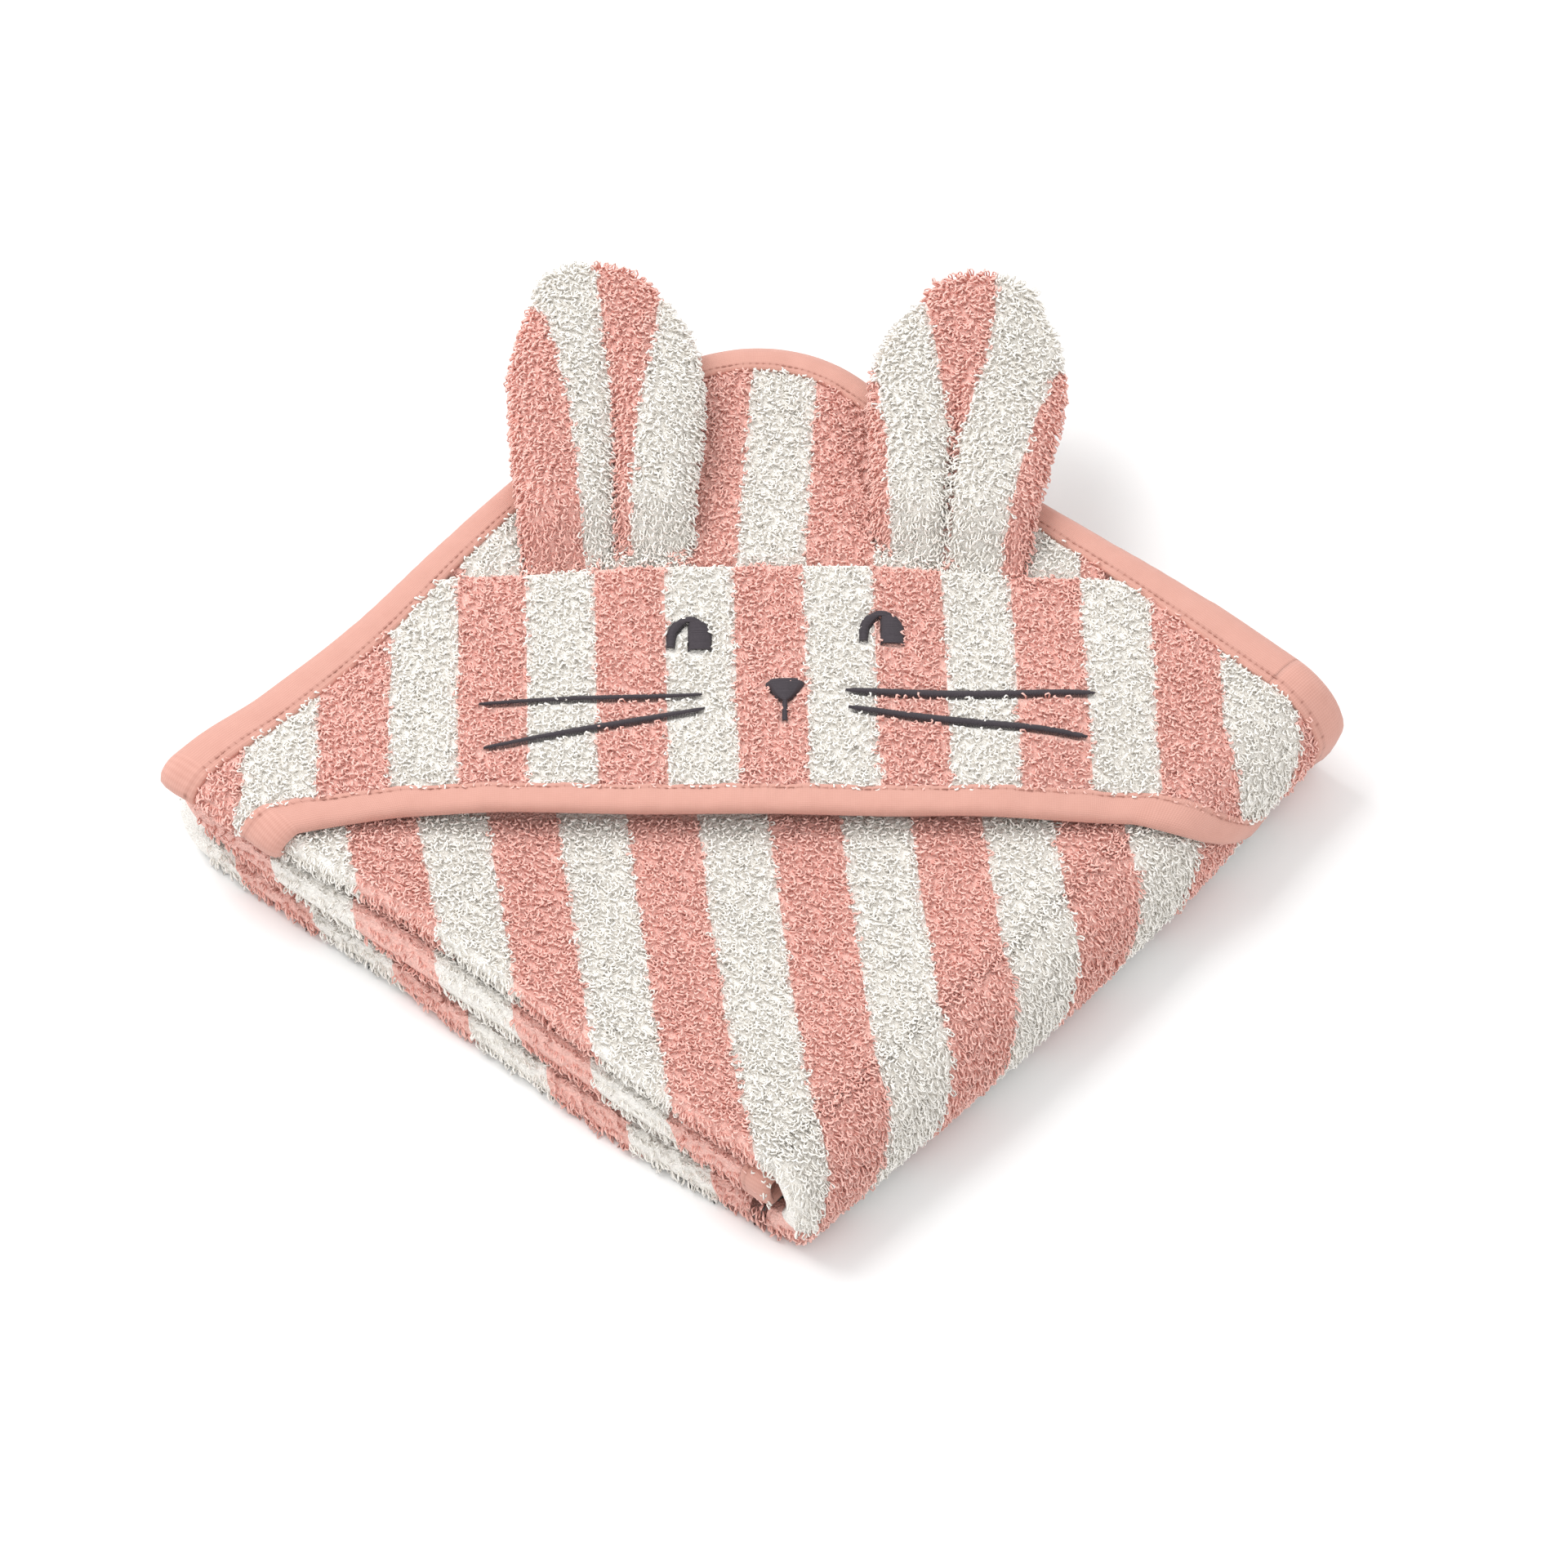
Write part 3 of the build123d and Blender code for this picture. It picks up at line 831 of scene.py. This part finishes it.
edge_tapes = [("front_lower_tape", "q", 0.0, hood_p_end, p_last, 1, "front", ["front_lower_binding"]),
              ("front_left_tape", "p", p_last, 0.0, bend_low, -1, "front", ["front_left_binding"]),
              ("bend_tape_left", "p", p_last, bend_low, bend_high, -1, "bend", ["outer_bend_binding"]),
              ("bend_tape_right", "p", 0.0, hood_q_end - 0.001, bend_high, 1, "bend", []),
              ("base_tape_left", "p", p_last, bend_high, q_last, -1, "base",
               ["base_front_left_binding", "middle_front_left_binding"]),
              ("base_tape_right", "p", 0.0, bend_high, q_last, 1, "base",
               ["base_back_right_binding", "middle_back_right_binding"]),
              ("base_tape_end", "q", q_last, 0.0, p_last, -1, "base", ["middle_end_binding"])]
for name, axis, at, low, high, into, body, nodes in edge_tapes:
    go_with(edge_tape(name, axis, at, low, high, into), body, *nodes)


def mouth_place(x, e, h):
    """A point on the mouth's binding, x along it, e in from its edge and h over the cloth."""
    return on_hood(x + mouth_slant(x, e), mouth(x) + e, h)[0]


mouth_left = float(hood_span(mouth(-0.13))[0])  # its ends, where the hood's ends are
mouth_right = float(hood_span(mouth(0.145))[1])
left_steps, right_steps = mouth_left * (1 - crowded(160)), mouth_right * crowded(160)
mouth_tape_left = tape_piece("mouth_tape_left", mouth_place, left_steps, single_tape)
mouth_tape_right = tape_piece("mouth_tape_right", mouth_place, right_steps, single_tape)
follow_hood(mouth_tape_left, "left")
follow_hood(mouth_tape_right, "right")
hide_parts("hood_edge_binding", "hood_edge_stitching")


def stitches(name, ring, material):
    """A closed tube through the rings of points of every stitch."""
    index = np.arange(ring.size // 3).reshape(ring.shape[:3])
    after = np.roll(index, -1, axis=2)
    quads = np.stack([index[:, :-1], after[:, :-1], after[:, 1:], index[:, 1:]], axis=-1)
    caps = np.stack([index[:, 0, ::-1], index[:, -1, :]], axis=1)
    piece = new_mesh(name, ring.reshape(-1, 3), [quads.reshape(-1, 4), caps.reshape(-1, ring.shape[2])],
                     {}, material)
    return piece


def stitch_row(name, place, s_low, s_high, height):
    """Topstitching: short rounded stitches end to end, sunk at both ends, in pink thread."""
    s = (np.arange(s_low, s_high, stitch_gap) + 0.25 * stitch_gap)[:, None]
    s = s + np.array([-0.5, -0.34, 0.0, 0.34, 0.5]) * stitch_length
    dip = height + np.array([-0.00025, 0.00004, 0.00012, 0.00004, -0.00025]) + 0 * s
    centre = place(s, stitch_in + 0 * s, dip)
    up = unit(place(s, stitch_in + 0 * s, dip + 0.001) - centre)
    beside = np.cross(unit(np.gradient(centre, axis=1)), up)
    angles = np.arange(6)[:, None] * math.pi / 3
    ring = beside[:, :, None, :] * np.cos(angles) + up[:, :, None, :] * np.sin(angles)
    return stitches(name, centre[:, :, None, :] + thread_r * ring, pink_thread)


def plain_material(name, colour, roughness, grain, bump):
    """A thread or cloth in one colour with a fine uneven grain in tone and height."""
    material, shader, sock = new_material(name, roughness, 0.1)
    place = sock.node("ShaderNodeTexCoord", output=3)
    noise = sock.node("ShaderNodeTexNoise", inputs={"Vector": place, "Scale": grain, "Detail": 2.0})
    darker = tuple(0.72 * c for c in colour[:3]) + (1,)
    connect(sock.mix(noise, darker, colour), shader, "Base Color")
    connect(sock.node("ShaderNodeBump", inputs={"Strength": 0.3, "Distance": bump, "Height": noise}),
            shader, "Normal")
    return material


stitch_length = 0.0020
thread_r = 0.00020
pink_thread = plain_material("pink_thread", (0.50, 0.23, 0.18, 1), 0.6, 2500.0, 0.0001)
go_with(stitch_row("side_stitches", side_place, 0.008, bend_s, 0.00615), "front")
for half, low, high in (("left", mouth_left + 0.01, 0.0), ("right", 0.0, mouth_right - 0.012)):
    follow_hood(stitch_row("mouth_stitches_" + half, mouth_place, low, high, 0.0020), half)

# ============================================================================
# The face, sewn through the face panel in dark cotton: two arched eyes with one
# leg filled in, a rounded nose with its stem, and four whiskers.  Satin stitches
# lie side by side across each shape, and press the loops down under them.
# ============================================================================
dark_thread = plain_material("dark_thread", (0.070, 0.058, 0.068, 1), 0.85, 1800.0, 0.0001)
thread_lift = 0.0021                            # of the stitches over the hood's ground
thread_gap = 0.00034                            # from one stitch to the next
thread_half, thread_top, thread_deep = 0.00029, 0.00022, 0.0008
eye_half, eye_arch = 0.0065, 0.0066             # half width of an eye and height of its arch
eye_low, eye_high = -0.0056, 0.0058             # first and last stitch, from its centre
leg_low, gap_top = -0.0050, 0.0040              # foot of its filled leg, and where it opens
nose_low, nose_high, stem_top = -0.0115, 0.0039, -0.0040
stem_half, nose_swell = 0.0008, 0.0053          # half the stem, and what the nose adds to it
eye_places = [(-0.0172, 0.0298), (0.0380, 0.0280)]
nose_place = (0.0088, 0.0062)
whisker_lines = [("upper_left", (-0.0150, 0.0070), (-0.0785, 0.0072), 0.0017),
                 ("lower_left", (-0.0144, 0.0011), (-0.0780, -0.0102), 0.0020),
                 ("upper_right", (0.0263, 0.0053), (0.0967, -0.0010), 0.0024),
                 ("lower_right", (0.0268, -0.0011), (0.0931, -0.0167), 0.0023)]


def satin(name, ends_a, ends_b, seed):
    """One satin stitch between each pair of hood coordinates: a flat arched prism of four
    sides that dives into the cloth at both ends."""
    rng = np.random.default_rng(seed)
    ends_a, ends_b = np.asarray(ends_a), np.asarray(ends_b)
    steps = np.array([0, 0.12, 0.5, 0.88, 1])
    path = ends_a[:, None, :] + (ends_b - ends_a)[:, None, :] * steps[None, :, None]
    rise = np.array([-0.0012, 0.0001, 0.0003, 0.0001, -0.0012]) + rng.uniform(0, 0.0001, (len(path), 1))
    centre, normal = on_hood(path[..., 0], path[..., 1], thread_lift + rise)
    beside = np.cross(unit(np.gradient(centre, axis=1)), normal) * thread_half
    ring = np.stack([centre + beside, centre + normal * thread_top, centre - beside,
                     centre - normal * thread_deep], axis=2)
    return stitches(name, ring, dark_thread)


def eye_rows(y):
    """Outer half width of an eye at a height over its centre, and the two sides of its
    opening, which leans and narrows up to the arch: the arch is half a circle."""
    outer = eye_half * np.sqrt(np.clip(1 - (np.maximum(y + 0.0006, 0) / eye_arch) ** 2, 0, 1))
    gap_left = np.interp(y, [-0.006, 0.0, 0.0030, gap_top], [-0.0042, -0.0036, -0.0016, -0.0004])
    return outer, gap_left, np.full_like(gap_left, -0.0004)


def eye(name, centre, seed):
    """Rows of satin over an eye: its filled leg, its thin leg, and the whole arch over them."""
    x0, y0 = hood_axes(*centre)
    y = np.arange(eye_low, eye_high, thread_gap)
    outer, gap_left, gap_right = eye_rows(y)
    open_rows = y < gap_top
    rows = [(-outer, gap_left, open_rows & (y > leg_low)), (gap_right, outer, open_rows),
            (-outer, outer, ~open_rows)]
    starts, ends = (np.concatenate([np.stack([x0 + row[side], y0 + y], axis=1)[row[2]] for row in rows])
                    for side in (0, 1))
    return satin(name, starts, ends, seed)


def nose_half(y):
    """Half width of the nose and its stem at a height over the nose's centre."""
    t = np.clip((y - stem_top) / 0.0078, 0, 1)
    body = stem_half + nose_swell * t ** 0.75
    body = body * np.sqrt(1 - 0.35 * np.clip((t - 0.82) / 0.18, 0, 1) ** 2)
    return np.where(y > stem_top, body, stem_half)


def whisker(name, start, end, thick, seed):
    """Stitches slanting across a long thin stroke that is thinner at its ends."""
    a, b = np.array(hood_axes(*start)), np.array(hood_axes(*end))
    length = np.hypot(*(b - a))
    t = np.linspace(0, 1, int(length / thread_gap))[:, None]
    along = (b - a) / length
    beside = np.array([-along[1], along[0]])
    line = a + (b - a) * t + beside * 0.0005 * np.sin(3.0 * t + seed)
    pointed = np.clip(np.minimum(t, 1 - t) * 40, 0.5, 1)
    across = beside * 0.5 * thick * (0.72 + 0.28 * np.sin(math.pi * t ** 0.8)) * pointed
    slant = along * 0.0003
    return satin(name, line - across - slant, line + across + slant, seed)


for side, centre in zip(("left", "right"), eye_places):
    go_with(eye(side + "_eye_stitches", centre, 31), "hood_flap", side + "_eye")
nose_y = np.arange(nose_low, nose_high, thread_gap)
nose_x0, nose_y0 = hood_axes(*nose_place)
nose_row = nose_half(nose_y)
nose = satin("nose_stitches", np.stack([nose_x0 - nose_row, nose_y0 + nose_y], axis=1),
             np.stack([nose_x0 + nose_row, nose_y0 + nose_y], axis=1), 33)
go_with(nose, "hood_flap", "nose")
for number, (where, start, end, thick) in enumerate(whisker_lines):
    level, half = where.split("_")
    piece = whisker("whisker_" + where, start, end, thick, 40 + number)
    follow_hood(piece, half)
    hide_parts(half + "_" + level + "_whisker")


def clear_of_face(x, y):
    """Where the loops are free: not under an eye, the nose or a whisker."""
    margin, whisker_over, whisker_under = 0.0003, 0.0011, -0.0002
    free = np.ones(len(x), dtype=bool)
    for centre in eye_places:
        x0, y0 = hood_axes(*centre)
        dx, dy = x - x0, y - y0
        outer, gap_left, gap_right = eye_rows(dy)
        in_eye = (np.abs(dx) < outer + margin) & (dy > eye_low - 0.0010) & (dy < eye_high + 0.0011)
        in_gap = (dx > gap_left + 0.0002) & (dx < gap_right - 0.0002) & (dy < gap_top - 0.0002)
        free &= ~(in_eye & ~in_gap)
    dy = y - nose_y0
    in_nose = np.abs(x - nose_x0) < nose_half(dy) + margin
    free &= ~(in_nose & (dy > nose_low) & (dy < nose_high + margin))
    for _, start, end, thick in whisker_lines:
        a, b = np.array(hood_axes(*start)), np.array(hood_axes(*end))
        length = np.hypot(*(b - a))
        d = (b - a) / length
        t = np.clip((x - a[0]) * d[0] + (y - a[1]) * d[1], 0, length)
        off = np.hypot(x - a[0] - d[0] * t, y - a[1] - d[1] * t)
        free &= off > 0.35 * thick + np.where(y > a[1] + d[1] * t, whisker_over, whisker_under)
    return free


def face_keep(x, y):
    """Where the face panel has loops."""
    return above_binding(x, y) & clear_of_face(x, y)


def left_wrap(x, y):
    """The face panel's loops that go round the left fold."""
    return face_keep(x, y) & (to_flat(*plan_place(x, y))[0] > fold_low - 0.0005)


def right_wrap(x, y):
    """Those that go round the outer bend."""
    return face_keep(x, y) & (to_flat(*plan_place(x, y))[1] > bend_low)


face_range = (-0.05, 0.06)
face_piles = [("loops_face_left", "left", (-0.17, 0.0), face_keep, loop_gap),
              ("loops_face_right", "right", (0.0, 0.18), face_keep, loop_gap),
              ("loops_face_left_fold", "left", (-0.18, -0.11), left_wrap, 0.0010),
              ("loops_face_right_bend", "right", (0.09, 0.18), right_wrap, 0.0018)]
for seed, (name, half, x_range, keep, gap) in enumerate(face_piles, 23):
    follow_hood(hood_loops(name, x_range, face_range, face_stripes, keep, seed, gap), half)

# ============================================================================
# The ears: flat pouches of terry turned right side out, pleated down the middle
# and caught in the seam between the crown and the face panel, so that their two
# lobes roll up over the pleat.
# ============================================================================
ear_rows = np.array([0, 0.2, 0.43, 0.5, 0.65, 0.8, 0.9, 0.96, 1.0])
ear_shapes = {
    "left_ear": {"base": (-0.0390, 0.0580), "tip": (-0.0400, 0.1690),
                 "half": [24.0, 24.6, 27.0, 27.2, 26.6, 22.2, 17.0, 11.5, 0.5],
                 "bow": [0, 0.8, 2.4, 2.8, 3.2, 3.0, 1.6, 0.4, -1.0],
                 "valley": [2.0, 2.0, 1.6, 1.4, 0.6, 0, 0, 0, 0], "open": (0.42, 0.85),
                 "stripes": [[-6.2, -8.0, -10.6, -11.5, -13.6, -16.0, -18.4, -20, -21],
                             [2.0, 2.0, 1.6, 1.2, 0.3, 0.4, 1.0, 2.0, 3.0],
                             [6.2, 6.8, 8.9, 10.2, 13.2, 16.4, 18.8, 20.5, 22],
                             [36, 36, 36, 36, 36, 36, 36, 36, 36]]},
    "right_ear": {"base": (0.0600, 0.0515), "tip": (0.0785, 0.1580),
                  "half": [21.0, 23.0, 26.2, 27.0, 27.0, 22.6, 16.6, 10.4, 0.5],
                  "bow": [-1.0, -1.4, -1.8, -2.0, -2.0, -1.4, -0.8, -0.4, 0],
                  "valley": [-1.5, -2.0, -2.6, -2.8, -3.0, -3.0, -3, -3, -3], "open": (0.30, 0.75),
                  "stripes": [[-17, -19.5, -22.8, -24.5, -28, -31, -32, -32, -32],
                              [-1.6, -2.1, -4.2, -5.8, -9.2, -13.8, -17.4, -20, -22],
                              [-1.4, -1.9, 0.2, 1.6, 4.0, 4.7, 3.6, 2.4, 1.8],
                              [15.0, 17.0, 20.3, 21.8, 25.2, 29, 32, 33, 34]]}}
ear_z = packet_top - cloth / 2 + 0.0100
lobe_high, pad_high, pad_low = 0.0078, 0.0058, 0.0046


def along_ear(values, t):
    """A width given at a few places along an ear, read between them by a smooth cubic."""
    values, t = np.asarray(values) / 1000, np.clip(t, 0, 1)
    slope = np.gradient(values, ear_rows)
    k = np.clip(np.searchsorted(ear_rows, t, side="right") - 1, 0, len(ear_rows) - 2)
    step = ear_rows[k + 1] - ear_rows[k]
    r = (t - ear_rows[k]) / step
    return ((1 + 2 * r) * (1 - r) ** 2 * values[k] + r * (1 - r) ** 2 * step * slope[k]
            + r ** 2 * (3 - 2 * r) * values[k + 1] + r ** 2 * (r - 1) * step * slope[k + 1])


def ear_half_width(ear, t):
    """Half width: the listed one, closing like a circle over the last tenth."""
    last = ear["half"][6]
    round_tip = last / 1000 * np.sqrt(np.clip(1 - ((t - 0.9) / 0.1) ** 2, 1e-6, 1))
    body = along_ear(ear["half"][:6] + [last] * 3, np.minimum(t, 0.9))
    return np.where(t < 0.9, body, round_tip)


def on_ear(ear, a, t):
    """A point at an angle a round the ear's section and t along it.  Over the flat underside
    the top is one low pad near the tip and two round lobes with a valley near the root."""
    half = ear_half_width(ear, t)
    x = half * np.cos(a)
    valley = along_ear(ear["valley"], t)
    centre = np.where(x < valley, (valley - half) / 2, (valley + half) / 2)
    reach = np.where(x < valley, (valley + half) / 2, (half - valley) / 2)
    lobe = lobe_high * np.sqrt(np.clip(1 - ((x - centre) / reach) ** 2, 0, 1)) ** 0.8
    pad = pad_high * np.abs(np.sin(a)) ** 0.8
    pleat = 1 - smooth((t - ear["open"][0]) / (ear["open"][1] - ear["open"][0]))
    root = 0.25 + 0.75 * smooth(t / 0.15)
    end = np.clip(half / 0.02, 0, 1) ** 0.7
    top = (lobe * pleat + pad * (1 - pleat)) * root * end
    low = pad_low * np.abs(np.sin(a)) ** 0.8 * root * end
    crumple = 0.0006 * np.sin(60 * x + 9 * t) * np.sin(7 * t + 1) * end
    lift = np.where(np.sin(a) >= 0, top, -low) + crumple
    base, tip = np.array(ear["base"]), np.array(ear["tip"])
    direction = (tip - base) / np.hypot(*(tip - base))
    x = x + along_ear(ear["bow"], t)
    place = base + (tip - base) * t[..., None] + x[..., None] * np.array([direction[1], -direction[0]])
    z = ear_z - 0.0066 * (1 - smooth(t / 0.2)) + 0.0045 * t + 0.0016 * np.sin(2.6 * t + 0.4) + lift
    return np.stack([place[..., 0], place[..., 1], z], axis=-1)


def ear_stripes(ear, a, t):
    """Stripes bent by the pleat: each boundary is listed along the ear, and the underside
    carries on straight."""
    x = ear_half_width(ear, t) * np.cos(a)
    edges = [along_ear(row, t) for row in ear["stripes"]]
    edges = [edges[0] - stripe] + edges
    total = stripe * np.clip((x - edges[-1]) / stripe, 0, 0.95)
    for low, high in zip(edges[:-1], edges[1:]):
        total = total + stripe * np.clip((x - low) / np.maximum(high - low, 1e-4), 0, 1)
    return total


def follow_ear(piece):
    """Bakes the piece's transform where it lies."""
    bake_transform(piece)


def ear_pouch(name, ear):
    """The ear's ground cloth as a closed pouch, its rings closer together towards the tip."""
    t = np.minimum(1 - (1 - np.linspace(0, 1, 64)) ** 1.5, ear_end)
    a, t = np.meshgrid(np.linspace(0, 2 * math.pi, 73)[:-1], t, indexing="ij")
    index = np.arange(a.size).reshape(a.shape)
    quads = grid_quads(np.concatenate([index, index[:1]]))[:, ::-1]
    caps = np.stack([index[:, 0], index[::-1, -1]])
    values = {"across": ear_stripes(ear, a, t), "tone": np.full(a.shape, 0.4),
              "tip": np.full(a.shape, 0.3)}
    pouch = new_mesh(name + "_pouch", on_ear(ear, a, t).reshape(-1, 3), [quads, caps], values,
                     terry_ground)
    return pouch


def run_along(points):
    """The length from the first point of a line to each of its points."""
    return np.concatenate([[0], np.cumsum(np.linalg.norm(np.diff(points, axis=0), axis=1))])


def ear_pile(name, ear, seed):
    """Loops in rings round the ear, one gap apart both along it and round each ring."""
    rng = np.random.default_rng(seed)
    places = np.linspace(0.004, 0.999, 400)
    spine = run_along(on_ear(ear, np.full(400, math.pi / 2), places))
    turns = np.linspace(0, 2 * math.pi, 240)
    around, along = [], []
    for place in np.interp(np.arange(0, spine[-1], loop_gap), spine, places):
        girth = run_along(on_ear(ear, turns, np.full(240, place)))
        spots = np.arange(rng.uniform(0, loop_gap), girth[-1], loop_gap)
        spots = spots + rng.normal(0, 0.2 * loop_gap, len(spots))
        around.append(np.interp(spots, girth, turns))
        along.append(np.full(len(spots), place) + rng.normal(0, 0.002, len(spots)))
    a, t = np.concatenate(around), np.clip(np.concatenate(along), 0.002, 0.999)
    by_a = on_ear(ear, a + 0.01, t) - on_ear(ear, a - 0.01, t)
    by_t = on_ear(ear, a, np.minimum(t + 0.002, ear_end)) - on_ear(ear, a, t - 0.002)
    comb = np.array([*(np.array(ear["base"]) - ear["tip"]), -0.01])
    across = ear_stripes(ear, a, t) + rng.normal(0, 0.0006, len(a))
    return loops("loops_" + name, on_ear(ear, a, t), unit(np.cross(by_t, by_a)), comb, across, seed)


ear_end = 0.9995                                # the last ring, just short of the tip
for seed, (name, ear) in enumerate(ear_shapes.items(), 41):
    pouch = ear_pouch(name, ear)
    follow_ear(pouch)
    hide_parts(name + "_front", name + "_back")
    follow_ear(ear_pile(name, ear, seed))

# ============================================================================
# The rest of the loops: round the folds and bends at the packet's sides, under it,
# and on the faces that show when the top third is opened.
# ============================================================================
fold_band = (fold_low - 0.001, fold_high + 0.001)
back_band = (back_low - 0.001, back_high + 0.001)
clear_edge = bound - 0.0005
outer_panel, inner_panel = (clear_edge, fold_low), (back_high, p_last - clear_edge)
_, bend_run, base_run, turn_run, middle_run = zip([0, *roll_ends[:4]], roll_ends)
back_comb = (0.3, 0.3, -1.0)
side_pile = dict(gap=0.0018, length=0.0026, coarse=True)
back_pile = dict(side_pile, comb=back_comb)
under_pile = dict(gap=0.0028, length=0.0030, coarse=True, comb=(0.3, -1.0, 0.0))
inside_pile = dict(gap=0.0030, length=0.0032, coarse=True)
ceiling_pile = dict(inside_pile, inner=True)
towel_loops("loops_bend", (clear_edge, fold_low + 0.004), bend_run, "bend", 51,
            lambda p, q: p + 0.9 * q > bend_low + 0.018, gap=0.0014, comb=(0.1, -1.0, -0.6))
other_piles = [("loops_middle_fold", fold_band, middle_run, "base", side_pile),
               ("loops_base_fold", fold_band, base_run, "base", side_pile),
               ("loops_front_back_fold", back_band, (0.002, bend_low), "front", back_pile),
               ("loops_bend_back_fold", back_band, bend_run, "bend", back_pile),
               ("loops_base_back_fold", back_band, (bend_high, q_last), "base", back_pile),
               ("loops_inner_bend", outer_panel, turn_run, "base", back_pile),
               ("loops_under", outer_panel, base_run, "base", under_pile),
               ("loops_middle_top", outer_panel, (turn_high, q_last - clear_edge), "base",
                inside_pile),
               ("loops_front_under", inner_panel, (clear_edge, bend_low), "front", ceiling_pile),
               ("loops_bend_under", inner_panel, bend_run, "bend", ceiling_pile)]
for seed, (name, p_range, q_range, body, pile) in enumerate(other_piles, 52):
    towel_loops(name, p_range, q_range, body, seed, **pile)

# ============================================================================
# The table it lies on, soft light from the upper left, and the camera.
# ============================================================================
floor_mesh = bpy.data.meshes.new("floor")
floor_mesh.from_pydata([(-6, -6, 0), (6, -6, 0), (6, 6, 0), (-6, 6, 0)], [], [(0, 1, 2, 3)])
floor = bpy.data.objects.new("floor", floor_mesh)
bpy.context.scene.collection.objects.link(floor)
floor_material, floor_shader, _ = new_material("table", 0.9)
floor_shader.inputs["Base Color"].default_value = (0.9, 0.9, 0.9, 1)
floor_mesh.materials.append(floor_material)

world = bpy.data.worlds.new("studio")
world.use_nodes = True
world.node_tree.nodes["Background"].inputs["Color"].default_value = (1.0, 1.0, 1.0, 1)
world.node_tree.nodes["Background"].inputs["Strength"].default_value = 0.88
bpy.context.scene.world = world
bpy.context.scene.view_settings.view_transform = "Standard"


def soft_light(name, place, aim, size, power):
    """A square softbox at a place, turned to its aim."""
    data = bpy.data.lights.new(name, "AREA")
    data.size = size
    data.energy = power
    lamp = bpy.data.objects.new(name, data)
    lamp.location = place
    lamp.rotation_euler = (Vector(aim) - Vector(place)).to_track_quat("-Z", "Y").to_euler()
    bpy.context.scene.collection.objects.link(lamp)


soft_light("key", (-1.0, 0.7, 1.8), (0, 0, 0), 1.4, 31)
soft_light("fill", (0.8, -1.2, 1.8), (0, 0, 0), 1.5, 9)

elevation, azimuth, distance = math.radians(50), math.radians(-3.5), 2.5
aim = Vector((0.0077, -0.008, 0.020))
camera_data = bpy.data.cameras.new("camera")
camera_data.lens = 201
camera_data.sensor_width = 36
camera = bpy.data.objects.new("camera", camera_data)
away = Vector((math.sin(azimuth) * math.cos(elevation), -math.cos(azimuth) * math.cos(elevation),
               math.sin(elevation)))
camera.location = aim + away * distance
camera.rotation_euler = away.to_track_quat("Z", "Y").to_euler()
bpy.context.scene.collection.objects.link(camera)
bpy.context.scene.camera = camera
